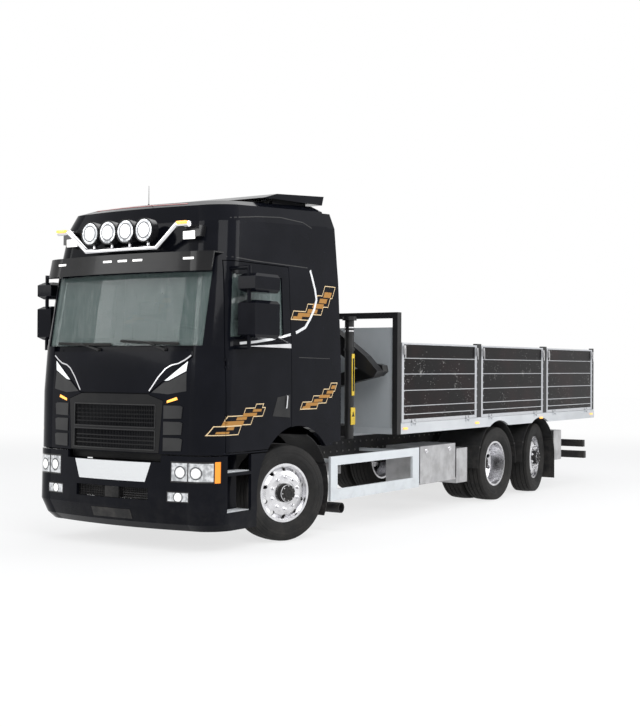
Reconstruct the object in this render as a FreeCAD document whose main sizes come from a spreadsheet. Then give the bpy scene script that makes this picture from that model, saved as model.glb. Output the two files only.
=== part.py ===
import FreeCAD, Part
import Sketcher
import math
import os

# A three-axle flatbed truck with a sleeper cab, a folded loader crane and a dropside body.
# Millimetres. +Z is up, the truck drives towards -Y, and its own left side is +X.
# The origin is on the ground, midway between the bumper's face and the tail.

doc = FreeCAD.newDocument("decorated_truck")
sheet = doc.addObject("Spreadsheet::Sheet", "Sizes")


class Size:
    """A length or angle that carries its number and the sheet expression behind it."""

    def __init__(self, value, text):
        """Keep the number and its expression."""
        self.value = value
        self.text = text

    def join(self, sign, other, value):
        """The size that a sum with another gives."""
        return Size(value, f"({self.text} {sign} {other.text})")

    def __add__(self, other):
        """Sum."""
        other = size(other)
        return self.join("+", other, self.value + other.value)

    def __sub__(self, other):
        """Difference."""
        other = size(other)
        return self.join("-", other, self.value - other.value)

    def __mul__(self, other):
        """Product."""
        other = size(other)
        return self.join("*", other, self.value * other.value)

    def __truediv__(self, other):
        """Quotient."""
        other = size(other)
        return self.join("/", other, self.value / other.value)

    def __neg__(self):
        """The size with its sign turned."""
        return Size(-self.value, f"(0 - {self.text})")

    def __radd__(self, other):
        """Sum with a plain number first."""
        return size(other) + self

    def __rsub__(self, other):
        """Difference from a plain number."""
        return size(other) - self

    def __rmul__(self, other):
        """Product with a plain number first."""
        return size(other) * self


def size(value):
    """A Size from a Size or a plain number."""
    if isinstance(value, Size):
        return value
    return Size(float(value), repr(float(value)) if value >= 0 else f"(0 - {repr(-float(value))})")


def sine(angle):
    """The sine of an angle in degrees."""
    return Size(math.sin(math.radians(angle.value)), f"sin({angle.text})")


def cosine(angle):
    """The cosine of an angle in degrees."""
    return Size(math.cos(math.radians(angle.value)), f"cos({angle.text})")


class Sizes:
    """The driving dimensions, kept in the sheet under the same names."""

    def __init__(self):
        """Start with an empty sheet."""
        self.rows = 0

    def add(self, **values):
        """Write named values into the sheet, one row each."""
        for name, value in values.items():
            self.rows += 1
            sheet.set(f"A{self.rows}", name)
            sheet.set(f"B{self.rows}", str(value))
            sheet.setAlias(f"B{self.rows}", name)
            setattr(self, name, Size(float(value), f"Sizes.{name}"))


S = Sizes()

# The whole truck
S.add(
    overall_length=9700,
    front_overhang=1470,
    wheelbase=4750,
    tandem_spread=1355,
    body_width=2550,
    seam=8,
    moving_gap=6,
    seat_gap=0.3,
    pin_gap=0.05,
)

# Wheels, axles and steering
S.add(
    tyre_radius=507,
    tyre_half_width=157,
    tyre_tread_half=138,
    tyre_shoulder_drop=12,
    tyre_belly=400,
    tyre_foot_half=142,
    tyre_shoulder_half=151,
    bead_half_width=108,
    rim_radius=298,
    rim_lip=10,
    rim_lip_width=8,
    rim_wall=14,
    disc_thickness=15,
    disc_outset=120,
    disc_flat_radius=188,
    disc_turn_radius=232,
    handhole_radius=26,
    handhole_circle=252,
    handhole_count=10,
    hub_radius=141,
    hub_cap_radius=92,
    hub_cap_length=58,
    hub_depth=150,
    spindle_radius=46,
    spindle_length=130,
    twin_spacing=350,
    twin_centre=915,
    twin_cap_length=140,
    kingpin_offset=930,
    wheel_offset=115,
    kingpin_radius=24,
    kingpin_eye_radius=48,
    kingpin_eye_height=116,
    fork_arm=34,
    fork_gap=6,
    knuckle_plate=26,
    front_steer_rest=-18,
    tag_steer_rest=9.5,
    axle_beam_depth=92,
    axle_beam_width=110,
    axle_tube_radius=70,
    beam_neck_reach=76,
    beam_neck_half=33,
    final_drive_radius=215,
    final_drive_width=240,
)

# Chassis frame
S.add(
    rail_outer=430,
    rail_flange=85,
    rail_web=9,
    rail_bottom=700,
    rail_top=970,
    frame_front_setback=190,
    frame_rear_setback=130,
    cross_tube_radius=45,
    middle_tube_y=-1600,
    spring_width=90,
    spring_thickness=44,
    spring_half_length=760,
    bellows_radius=125,
    bellows_shift=300,
    arm_lead=150,
    engine_half_width=330,
    engine_front=-900,
    engine_rear=330,
    engine_bottom=560,
    engine_top=1255,
    radiator_half=335,
    radiator_setback=345,
    radiator_depth=100,
    radiator_bottom=500,
    radiator_top=1250,
    shroud_half=280,
    shroud_edge=120,
    coupling_hole_radius=10.5,
    coupling_spacing_across=160,
    coupling_spacing_up=100,
    coupling_plate_thickness=24,
)

# Cab stations: height, half width and nose distance ahead of the front axle
S.add(
    cab_base=970,
    cab_base_half=1240,
    cab_base_nose=1452,
    cab_waist=1560,
    cab_waist_half=1245,
    cab_waist_nose=1440,
    cab_belt=2030,
    cab_belt_half=1236,
    cab_belt_nose=1405,
    cab_brow=2775,
    cab_brow_half=1200,
    cab_brow_nose=1285,
    cab_crown=2960,
    cab_crown_half=1182,
    cab_crown_nose=1255,
    cab_shoulder=3270,
    cab_shoulder_half=1145,
    cab_shoulder_nose=1200,
    cab_shoulder_rise=110,
    cab_roof=3440,
    cab_roof_half=1075,
    cab_roof_nose=1140,
    cab_roof_rise=110,
    cab_top=3500,
    cab_top_half=930,
    cab_top_nose=1000,
    cab_top_rise=120,
    cab_rear=690,
    cab_corner_width=300,
    cab_bow=85,
    cab_corner_depth=350,
    cab_wall=60,
    cab_floor_bottom=1300,
    cab_floor_top=1350,
    arch_radius=690,
    arch_shift=30,
    arch_height=520,
)

# Cab openings and panels, measured from the front axle where they run along the truck
S.add(
    door_hinge_x=1238,
    door_hinge_front=1145,
    door_hinge_low=1330,
    door_hinge_high=1860,
    door_eye_radius=11,
    door_eye_length=40,
    door_pin_radius=5,
    buffer_size=40,
    buffer_low_x=440,
    buffer_low_z=1640,
    buffer_high_x=850,
    buffer_high_z=1980,
    door_front=1150,
    door_front_top=1080,
    door_rear=90,
    door_bottom=992,
    door_top=2872,
    window_front=1085,
    window_front_top=1010,
    window_rear=215,
    window_bottom=2120,
    window_sill_rise=30,
    window_top=2752,
    glass_inset=18,
    glass_thickness=6,
    windscreen_half_bottom=1055,
    windscreen_half_top=1060,
    windscreen_bottom=2034,
    windscreen_top=2762,
    lid_thickness=25,
    lid_recess=30,
    lid_bottom=1565,
    lid_top=1978,
    lid_room_top=2033,
    lid_half_bottom=470,
    lid_half_top=955,
    lid_top_corner=1935,
    grille_thickness=29.7,
    grille_bottom=978,
    grille_top=1552,
    grille_half_top=640,
    grille_half_bottom=600,
    grille_corner_drop=60,
    grille_neck_half=450,
    grille_slot_upper_top=1440,
    grille_slot_upper_bottom=1232,
    grille_slot_lower_top=1188,
    grille_slot_lower_bottom=1012,
    grille_slot_half=545,
    grille_bar=12,
    grille_bar_pitch=40,
    visor_drop=195,
    visor_reach=112,
    visor_thickness=14,
    visor_half=1120,
    deflector_wall=26,
    cab_back_fairing=150,
    blade_inner_half=916,
    fairing_bottom=1010,
)

# Roof equipment
S.add(
    bar_tube_radius=27,
    bar_reach=75,
    bar_low=3012,
    bar_high=3225,
    bar_low_half=480,
    bar_rise_half=740,
    bar_end_half=900,
    bar_foot_radius=16,
    bar_foot_length=90,
    spot_radius=121,
    spot_depth=88,
    spot_inner=122,
    spot_outer=371,
    spot_height=3186,
    corner_lamp_centre=850,
    corner_lamp_width=180,
    corner_lamp_height=110,
    corner_lamp_depth=62,
    corner_lamp_bottom=3112,
    wing_front=250,
    wing_shoulder=40,
    wing_rear=-835,
    wing_low=3605,
    wing_top_front=3668,
    wing_top_rear=3742,
    wing_lip=34,
    wing_half=1000,
    wing_leg=40,
    wing_leg_x=860,
)

# Cab inside
S.add(
    seat_centre=560,
    seat_width=520,
    seat_front=760,
    seat_depth=520,
    seat_height=1800,
    cushion_thickness=150,
    backrest_thickness=130,
    backrest_height=760,
    seat_pedestal=300,
    dash_top=1985,
    dash_bottom=1640,
    dash_depth=430,
    dash_gap=70,
    steering_radius=230,
    steering_rim=16,
    steering_reach=930,
    steering_height=1960,
    steering_tilt=35,
    dash_foot=40,
    seat_foot_inset=80,
    chest_half=1018,
    chest_setback=40,
    bunk_top=1900,
    bunk_bottom=1750,
    bunk_depth=640,
    bunk_half=1060,
)

# Mirrors
S.add(
    mirror_centre=1405,
    mirror_half_width=105,
    mirror_edge=32,
    mirror_front=1062,
    mirror_rear=660,
    mirror_main_bottom=2112,
    mirror_main_top=2482,
    mirror_wide_bottom=2560,
    mirror_wide_top=2745,
    mirror_arm_low=2020,
    mirror_arm_high=2800,
    mirror_arm_radius=20,
    mirror_arm_front=1040,
    mirror_arm_root=48,
)

# Bumper and lamps
S.add(
    bumper_bottom=285,
    bumper_chin=430,
    bumper_chin_setback=55,
    bumper_lip_setback=132,
    bumper_side_bottom=215,
    bumper_top=888,
    bumper_corner_top=958,
    bumper_corner_half=640,
    bumper_half=1240,
    bumper_wall=34,
    step_low=400,
    step_high=790,
    step_front=1130,
    step_rear=760,
    step_depth=190,
    step_tread=30,
    step_clear=250,
    headlamp_inner=752,
    headlamp_outer=1215,
    headlamp_bottom=700,
    headlamp_top=905,
    lamp_depth=26,
    lamp_wrap=275,
    lamp_seam=3,
    fog_inner=712,
    fog_outer=965,
    fog_bottom=505,
    fog_top=612,
    air_slot_half=490,
    air_slot_bottom=512,
    air_slot_top=628,
    sign_half_top=520,
    sign_half_bottom=450,
    sign_bottom=690,
    sign_top=882,
    bracket_depth=60,
)

# Body: platform, gates, posts and headboard
S.add(
    body_front=-1380,
    gate_one_front=-1274,
    gate_one_length=1955,
    gate_two_length=2007,
    gate_three_length=1795,
    post_length=128,
    gate_bottom=1165,
    gate_top=2130,
    gate_thickness=28,
    gate_frame=42,
    gate_plank=190,
    gate_grooves=4,
    gate_groove=6,
    gate_inset=275,
    post_thickness=58,
    post_top=2150,
    corner_post_length=62,
    side_rail_bottom=1030,
    side_rail_top=1160,
    side_rail_width=50,
    floor_bottom=1112,
    floor_top=1140,
    bearer_bottom=1050,
    bearer_length=90,
    bearer_count=11,
    subframe_width=85,
    hinge_pin_radius=7,
    hinge_eye_radius=13,
    hinge_eye_length=60,
    hinge_ear=10,
    hinge_offset=5,
    hinge_notch=34,
    headboard_depth=90,
    headboard_post=70,
    headboard_top=2490,
    headboard_panel_top=2310,
    headboard_panel=26,
)

# Mudguards, skirts, boxes and tail
S.add(
    guard_radius=590,
    guard_wall=6,
    guard_inner_x=590,
    guard_outer_x=1245,
    guard_bar_angle=24,
    flap_bottom=165,
    flap_thickness=10,
    front_guard_radius=646,
    front_guard_inner=800,
    front_guard_start=232,
    guard_bar_height=760,
    front_guard_outer=1212,
    front_flap_bottom=210,
    skirt_front=-2735,
    skirt_rear=-800,
    skirt_bottom=358,
    skirt_top=845,
    skirt_outer=1245,
    skirt_depth=30,
    skirt_frame_front=135,
    skirt_frame_rear=155,
    skirt_frame_low=124,
    skirt_frame_high=99,
    skirt_stay=40,
    box_inner=760,
    box_outer=1245,
    box_front=-790,
    box_length=945,
    box_bottom=380,
    box_top=853,
    box_wall=12,
    box_door=16,
    slim_box_gap=14,
    slim_box_length=300,
    slim_box_bottom=330,
    slim_box_top=780,
    tail_box_front=3335,
    tail_box_length=285,
    tail_box_bottom=430,
    tail_box_top=880,
    tail_box_outer=1222,
    tank_front=-2560,
    tank_length=760,
    tank_radius=290,
    tank_height=700,
    tank_centre=860,
    tank_strap=40,
    underrun_y=4640,
    underrun_depth=80,
    underrun_bottom=380,
    underrun_top=492,
    underrun_half=1180,
    tail_lamp_bottom=560,
    tail_lamp_height=110,
    tail_lamp_inner=760,
    tail_lamp_outer=1160,
    tail_lamp_y=4690,
    outlet_y=-2400,
    outlet_height=250,
    outlet_radius=58,
    outlet_outer=1165,
)

# Loader crane
S.add(
    crane_base_front=-1980,
    crane_base_rear=-1430,
    crane_base_height=40,
    crane_plate_half=473,
    column_x=-150,
    column_y=-1690,
    column_radius=90,
    pivot_height=2700,
    elbow_x=1130,
    elbow_height=1800,
    boom_width=140,
    boom_depth=230,
    boom_tip_depth=180,
    boom_heel=92,
    boom_belly=98,
    boom_taper=156,
    crane_pin_radius=32,
    fork_wall=28,
    jib_y=-1535,
    jib_width=118,
    jib_depth=150,
    jib_tip_x=-300,
    jib_tip_height=1480,
    extension_depth=100,
    extension_width=80,
    extension_reach=150,
    cylinder_foot_x=60,
    cylinder_foot_height=1350,
    cylinder_radius=52,
    cylinder_length=760,
    cylinder_rod_radius=25,
    foot_pin_radius=18,
    lift_eye_reach=340,
    lift_eye_drop=190,
    lift_eye_radius=36,
    lift_eye_width=50,
    lug_thickness=14,
    head_drop=228,
    head_plate=30,
    head_half=100,
    beam_front=-1970,
    beam_height=120,
    beam_width=82,
    beam_wall=10,
    beam_housing_half=840,
    beam_inner_half=630,
    leg_x=950,
    leg_radius=54,
    leg_bottom=1000,
    leg_top=2420,
    leg_foot_radius=84,
    leg_foot_height=44,
    leg_ring=26,
    leg_ring_drop=396,
    leg_ring_radius=65,
)

front = -S.overall_length / 2
rear = S.overall_length / 2
front_axle = front + S.front_overhang
drive_axle = front_axle + S.wheelbase
tag_axle = drive_axle + S.tandem_spread
half_width = S.body_width / 2
cab_back = front_axle + S.cab_rear

exports = {}


def bind(item, prop, value):
    """Tie one property of a document object to a size."""
    item.setExpression(prop, size(value).text)


def place(item, x=0, y=0, z=0):
    """Tie an item's position to three sizes."""
    for axis, value in zip("xyz", (x, y, z)):
        bind(item, f"Placement.Base.{axis}", value)
    return item


def box(x, y, z):
    """A block between the low and high sizes of each axis."""
    item = doc.addObject("Part::Box", "Block")
    for prop, (low, high) in zip(("Length", "Width", "Height"), (x, y, z)):
        bind(item, prop, high - low)
    return place(item, x[0], y[0], z[0])


TURNS = {
    "X": FreeCAD.Rotation(FreeCAD.Vector(0, 1, 0), 90),
    "Y": FreeCAD.Rotation(FreeCAD.Vector(1, 0, 0), -90),
    "Z": FreeCAD.Rotation(),
}


def rod(axis, centre, span, radius):
    """A round bar along an axis. The centre holds the other two coordinates in order."""
    item = doc.addObject("Part::Cylinder", "Rod")
    bind(item, "Radius", radius)
    bind(item, "Height", span[1] - span[0])
    item.Placement = FreeCAD.Placement(FreeCAD.Vector(), TURNS[axis])
    spots = list(centre)
    spots.insert("XYZ".index(axis), span[0])
    return place(item, *spots)


def group(kind, name, shapes):
    """A feature made from a list of shapes."""
    item = doc.addObject(kind, name)
    item.Shapes = shapes
    return item


def fuse(*shapes):
    """One piece from overlapping or touching shapes."""
    if len(shapes) == 1:
        return shapes[0]
    return group("Part::MultiFuse", "Joined", list(shapes))


def cut(base, *tools):
    """The base with every tool taken away."""
    item = doc.addObject("Part::Cut", "Cut")
    item.Base = base
    item.Tool = fuse(*tools)
    return item


def common(first, second):
    """What two shapes share."""
    item = doc.addObject("Part::Common", "Common")
    item.Base = first
    item.Tool = second
    return item


def mirrored(base):
    """The same piece on the truck's other side."""
    item = doc.addObject("Part::Mirroring", "Mirrored")
    item.Source = base
    item.Normal = FreeCAD.Vector(1, 0, 0)
    return item


def both(base):
    """A left-hand piece and its right-hand twin, kept apart."""
    item = doc.addObject("Part::Compound", "Pair")
    item.Links = [base, mirrored(base)]
    return item


def apart(*shapes):
    """Pieces of one node that don't touch."""
    item = doc.addObject("Part::Compound", "Set")
    item.Links = list(shapes)
    return item


PLANES = {"X": "YZ_Plane", "Y": "XZ_Plane", "Z": "XY_Plane"}


def outline_body(axis, outline):
    """A body with a closed sketch whose corners are tied to their sizes."""
    body = doc.addObject("PartDesign::Body", "Body")
    sketch = body.newObject("Sketcher::SketchObject", "Outline")
    plane = next(item for item in body.Origin.OriginFeatures if item.Role == PLANES[axis])
    sketch.AttachmentSupport = [(plane, "")]
    sketch.MapMode = "FlatFace"
    corners = [(size(u), size(v)) for u, v in outline]
    points = [FreeCAD.Vector(u.value, v.value, 0) for u, v in corners]
    following = points[1:] + points[:1]
    sketch.addGeometry([Part.LineSegment(a, b) for a, b in zip(points, following)], False)
    count = len(points)
    rules = [Sketcher.Constraint("Coincident", i, 2, (i + 1) % count, 1) for i in range(count)]
    for i, (u, v) in enumerate(corners):
        rules.append(Sketcher.Constraint("DistanceX", -1, 1, i, 1, u.value))
        rules.append(Sketcher.Constraint("DistanceY", -1, 1, i, 1, v.value))
    sketch.addConstraint(rules)
    for i, (u, v) in enumerate(corners):
        bind(sketch, f"Constraints[{count + 2 * i}]", u)
        bind(sketch, f"Constraints[{count + 2 * i + 1}]", v)
    return body, sketch


def prism(axis, outline, span):
    """An outline padded along an axis, from the first size of the span to the second."""
    body, sketch = outline_body(axis, outline)
    pad = body.newObject("PartDesign::Pad", "Pad")
    pad.Profile = sketch
    pad.Reversed = axis == "Y"
    bind(pad, "Length", span[1] - span[0])
    return place(body, **{axis.lower(): span[0]})


def turned(outline):
    """An outline of distance along X and radius, spun about the X axis."""
    body, sketch = outline_body("Y", outline)
    spin = body.newObject("PartDesign::Revolution", "Spin")
    spin.Profile = sketch
    spin.ReferenceAxis = (sketch, ["H_Axis"])
    spin.Angle = 360
    return body


def export(name, item):
    """Name a finished piece and keep it for the hand-in."""
    item.Label = name
    exports[name] = item


def arc_edge(start, middle, end):
    """An arc through three points."""
    return Part.Arc(start, middle, end).toShape()


def plan_wire(height, half, nose, back, rise=size(0), inset=size(0)):
    """A bowed front, two round corners, flat sides and a flat back, on a plane that may climb."""
    reach = front_axle.value - nose.value + inset.value
    side = half.value - inset.value
    tail = back.value - inset.value
    corner_x = half.value - S.cab_corner_width.value
    corner_y = reach + S.cab_bow.value
    flank_y = front_axle.value - nose.value + S.cab_corner_depth.value
    slope = rise.value / (back.value - front_axle.value + nose.value)

    def spot(x, y):
        """A point of the outline on its climbing plane."""
        climb = slope * (y - front_axle.value + nose.value)
        return FreeCAD.Vector(x, y, height.value + climb)

    diagonal = math.sqrt(0.5)
    bend_x = corner_x + (side - corner_x) * diagonal
    bend_y = flank_y + (corner_y - flank_y) * diagonal
    edges = [
        arc_edge(spot(-corner_x, corner_y), spot(0, reach), spot(corner_x, corner_y)),
        arc_edge(spot(corner_x, corner_y), spot(bend_x, bend_y), spot(side, flank_y)),
        Part.makeLine(spot(side, flank_y), spot(side, tail)),
        Part.makeLine(spot(side, tail), spot(-side, tail)),
        Part.makeLine(spot(-side, tail), spot(-side, flank_y)),
        arc_edge(spot(-side, flank_y), spot(-bend_x, bend_y), spot(-corner_x, corner_y)),
    ]
    return Part.Wire(edges)


def lofted(wires):
    """A solid through plan outlines, with creases at each of them."""
    item = doc.addObject("Part::Feature", "Lofted")
    item.Shape = Part.makeLoft(wires, True, True)
    return item


def wall_stations():
    """Height, half width, nose distance and rise of the cab's sections up to its shoulder."""
    return [
        (S.cab_base, S.cab_base_half, S.cab_base_nose, size(0)),
        (S.cab_waist, S.cab_waist_half, S.cab_waist_nose, size(0)),
        (S.cab_belt, S.cab_belt_half, S.cab_belt_nose, size(0)),
        (S.cab_brow, S.cab_brow_half, S.cab_brow_nose, size(0)),
        (S.cab_crown, S.cab_crown_half, S.cab_crown_nose, size(0)),
        (S.cab_shoulder, S.cab_shoulder_half, S.cab_shoulder_nose, S.cab_shoulder_rise),
    ]


def roof_stations(drop):
    """The roof's sections, let down by a roof's thickness."""
    return [
        (S.cab_roof - drop, S.cab_roof_half, S.cab_roof_nose, S.cab_roof_rise),
        (S.cab_top - drop, S.cab_top_half, S.cab_top_nose, S.cab_top_rise),
    ]


def cab_form(inset, low, high):
    """The cab's outer form, drawn in by an inset, between two heights."""
    drop = inset if inset.value > 0 else size(0)
    stations = wall_stations() + roof_stations(drop)
    whole = lofted([
        plan_wire(height, half, nose, cab_back, rise, inset) for height, half, nose, rise in stations
    ])
    if low is None:
        return whole
    reach = S.body_width
    return common(whole, box((-reach, reach), (front - reach, rear), (low, high)))


def front_only(item):
    """The part of a cab form ahead of the doors."""
    reach = S.body_width
    return common(item, box((-reach, reach), (front - reach, front_axle - S.door_front), (0, reach * 2)))


def layer(outer, inner):
    """The skin of the cab between two insets."""
    return cut(cab_form(size(outer), None, None), cab_form(size(inner), None, None))


def tyre_outline(centre):
    """Half-round shouldered tyre section about its own middle."""
    wide = S.tyre_half_width
    tread = S.tyre_tread_half
    lip = S.bead_half_width
    bore = S.rim_radius + S.seat_gap
    crown = S.tyre_radius
    shoulder = crown - S.tyre_shoulder_drop
    side = [
        (lip - S.seat_gap, bore),
        (lip - S.seat_gap, bore + S.rim_lip),
        (S.tyre_foot_half, bore + S.tyre_shoulder_drop * 2),
        (wide, S.tyre_belly),
        (S.tyre_shoulder_half, shoulder - S.tyre_shoulder_drop * 2),
        (tread, shoulder),
        (tread / 2, crown),
    ]
    return [(centre + u, v) for u, v in side] + [(centre - u, v) for u, v in reversed(side)]


def barrel_outline(centre, toward):
    """A rim well with its lips, for a wheel middle at centre; toward is +1 or -1 for the disc side."""
    lip = S.bead_half_width + S.rim_lip_width
    well = S.rim_radius - S.rim_wall
    right = [
        (S.bead_half_width, S.rim_radius),
        (S.bead_half_width, S.rim_radius + S.rim_lip),
        (lip, S.rim_radius + S.rim_lip),
        (lip, well),
    ]
    points = right + [(-u, v) for u, v in reversed(right)]
    return [(centre + u * toward, v) for u, v in points]


def handholes(centre_x, depth):
    """Round holes through a wheel disc, spaced evenly."""
    holes = []
    count = int(S.handhole_count.value)
    for i in range(count):
        hole = doc.addObject("Part::Cylinder", "Handhole")
        bind(hole, "Radius", S.handhole_radius)
        bind(hole, "Height", depth * 2)
        angle = size(360) * i / S.handhole_count
        hole.Placement = FreeCAD.Placement(FreeCAD.Vector(), TURNS["X"])
        place(hole, centre_x - depth, S.handhole_circle * sine(angle), S.handhole_circle * cosine(angle))
        holes.append(hole)
    return holes


def single_rim():
    """A steered wheel's rim: its disc stands outwards, with the hub and its cap. +X is outboard."""
    face = S.disc_outset
    thick = S.disc_thickness
    well = S.rim_radius - S.rim_wall
    seat = S.hub_radius - S.rim_wall
    barrel = turned(barrel_outline(size(0), 1))
    disc = turned([
        (face - thick * 4, well + S.rim_wall / 2),
        (face - thick * 4, well - S.rim_wall),
        (face - thick * 2, S.disc_turn_radius - thick),
        (face - thick, S.disc_flat_radius - thick),
        (face - thick, seat),
        (face, seat),
        (face, S.disc_flat_radius),
        (face - thick, S.disc_turn_radius),
        (face - thick * 3, well - S.rim_wall),
        (face - thick * 3, well + S.rim_wall / 2),
    ])
    disc = cut(disc, *handholes(face - thick * 2, thick * 3))
    hub = rod("X", (0, 0), (face - S.hub_depth, face - thick / 2), S.hub_radius)
    cap = rod("X", (0, 0), (face - thick, face + S.hub_cap_length), S.hub_cap_radius)
    bore = rod("X", (0, 0), (face - S.hub_depth - thick, S.spindle_length - thick * 2), S.spindle_radius)
    return cut(fuse(barrel, disc, hub, cap), bore)


def twin_rims():
    """Two rims back to back on one hub, about the middle between them. +X is outboard."""
    half = S.twin_spacing / 2
    thick = S.disc_thickness
    well = S.rim_radius - S.rim_wall
    seat = S.hub_radius - S.rim_wall
    neck = half - S.bead_half_width - S.rim_lip_width
    bowl = [
        (neck, well + S.rim_wall / 2),
        (thick * 2, S.disc_turn_radius + thick),
        (0, S.disc_flat_radius + thick),
        (0, seat),
        (thick, seat),
        (thick, S.disc_flat_radius),
        (thick * 3, S.disc_turn_radius),
        (neck + thick, well - S.rim_wall),
        (neck + thick * 2, well + S.rim_wall / 2),
    ]
    outer = fuse(turned(barrel_outline(half, 1)), turned(bowl))
    outer = cut(outer, *handholes(thick * 2, thick * 5))
    inner = fuse(turned(barrel_outline(-half, 1)), turned([(-u, v) for u, v in bowl]))
    hub = rod("X", (0, 0), (-S.hub_depth, thick * 3), S.hub_radius)
    cap = rod("X", (0, 0), (0, S.twin_cap_length), S.hub_cap_radius)
    bore = rod("X", (0, 0), (-S.hub_depth - thick, S.spindle_length - thick * 2), S.spindle_radius)
    return cut(fuse(outer, inner, hub, cap), bore)


def steered_place(item, side, axle_y, angle, reach):
    """Put a piece drawn about its own wheel middle on its kingpin, turned to its resting angle."""
    turn = FreeCAD.Rotation(FreeCAD.Vector(0, 0, 1), angle.value)
    item.Placement = FreeCAD.Placement(FreeCAD.Vector(), turn)
    bind(item, "Placement.Rotation.Angle", angle)
    place(
        item,
        S.kingpin_offset * side + reach * cosine(angle) * side,
        axle_y + reach * sine(angle) * side,
        S.tyre_radius,
    )


def knuckle():
    """A steering knuckle about its kingpin: a fork, the pin and the wheel's spindle. +X is outboard."""
    eye = S.kingpin_eye_height / 2
    arm_low = eye + S.fork_gap
    arm_high = arm_low + S.fork_arm
    reach = S.kingpin_eye_radius + S.fork_gap
    plate = reach + S.knuckle_plate
    pin = rod("Z", (0, 0), (-arm_high, arm_high), S.kingpin_radius)
    web = box((reach, plate), (-reach, reach), (-arm_high, arm_high))
    arms = []
    for low, high in ((arm_low, arm_high), (-arm_high, -arm_low)):
        arms.append(rod("Z", (0, 0), (low, high), S.kingpin_eye_radius))
        arms.append(box((0, reach + S.fork_gap), (-S.kingpin_eye_radius, S.kingpin_eye_radius), (low, high)))
    spindle_end = S.wheel_offset + S.spindle_length - S.disc_thickness * 2 - S.moving_gap
    spindle = rod("X", (0, 0), (reach, spindle_end), S.spindle_radius - S.pin_gap)
    return fuse(pin, web, *arms, spindle)


def turned_about_z(item):
    """A left-hand piece turned half round for the right-hand side."""
    holder = doc.addObject("Part::Compound", "Turned")
    holder.Links = [item]
    holder.Placement = FreeCAD.Placement(FreeCAD.Vector(), FreeCAD.Rotation(FreeCAD.Vector(0, 0, 1), 180))
    whole = doc.addObject("Part::Compound", "Whole")
    whole.Links = [holder]
    return whole


def steered_axle(label, axle_y, angle):
    """Knuckles, rims and tyres of an axle whose wheels steer."""
    for side, hand in ((1, "left"), (-1, "right")):
        pieces = {
            f"knuckle_{label}_{hand}": (knuckle(), size(0)),
            f"rim_{label}_{hand}": (single_rim(), S.wheel_offset),
            f"tyre_{label}_{hand}": (turned(tyre_outline(size(0))), S.wheel_offset),
        }
        for name, (piece, reach) in pieces.items():
            if side < 0:
                piece = turned_about_z(piece)
            steered_place(piece, side, axle_y, angle, reach)
            export(name, piece)


def drive_wheels():
    """Twin wheels on the driven axle."""
    half = S.twin_spacing / 2
    for side, hand in ((1, "left"), (-1, "right")):
        rims = twin_rims()
        tyres = apart(turned(tyre_outline(half)), turned(tyre_outline(-half)))
        for name, piece in ((f"rim_drive_{hand}", rims), (f"tyre_drive_{hand}", tyres)):
            if side < 0:
                piece = turned_about_z(piece)
            place(piece, S.twin_centre * side, drive_axle, S.tyre_radius)
            export(name, piece)


def axle_beam(axle_y):
    """A beam with an eye for the kingpin at each end."""
    middle = S.tyre_radius
    eye = S.kingpin_eye_height / 2
    half_depth = S.axle_beam_depth / 2
    half_beam = S.axle_beam_width / 2
    beam = box(
        (-S.kingpin_offset, S.kingpin_offset),
        (axle_y - half_beam, axle_y + half_beam),
        (middle - half_depth, middle + half_depth),
    )
    clear = S.kingpin_eye_radius + S.fork_gap
    parts = []
    for side in (-1, 1):
        centre = (S.kingpin_offset * side, axle_y)
        reach = (S.kingpin_offset * side - clear, S.kingpin_offset * side + clear)
        relief = box(reach, (axle_y - half_beam * 2, axle_y + half_beam * 2), (middle - eye, middle + eye))
        beam = cut(beam, relief)
        parts.append(rod("Z", centre, (middle - eye, middle + eye), S.kingpin_eye_radius))
        inner = (S.kingpin_offset - S.beam_neck_reach) * side
        link = (inner, S.kingpin_offset * side) if side > 0 else (S.kingpin_offset * side, inner)
        neck_y = (axle_y - S.beam_neck_half, axle_y + S.beam_neck_half)
        parts.append(box(link, neck_y, (middle - half_depth, middle + half_depth)))
    hole_z = (middle - eye * 2, middle + eye * 2)
    hole_radius = S.kingpin_radius + S.pin_gap
    holes = [rod("Z", (S.kingpin_offset * side, axle_y), hole_z, hole_radius) for side in (-1, 1)]
    return cut(fuse(beam, *parts), *holes)


def spring_pack(axle_y, top):
    """A leaf spring on the beam under one rail, with its hanger blocks."""
    middle = S.rail_outer - S.rail_flange / 2
    half = S.spring_width / 2
    x = (middle - half, middle + half)
    low = S.tyre_radius + S.axle_beam_depth / 2
    leaf_y = (axle_y - S.spring_half_length, axle_y + S.spring_half_length)
    leaf = box(x, leaf_y, (low, low + S.spring_thickness))
    reach = S.spring_half_length - half
    spots = (axle_y - reach, axle_y + reach)
    hangers = [box(x, (spot - half / 2, spot + half / 2), (low, top)) for spot in spots]
    return fuse(leaf, *hangers)


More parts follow.
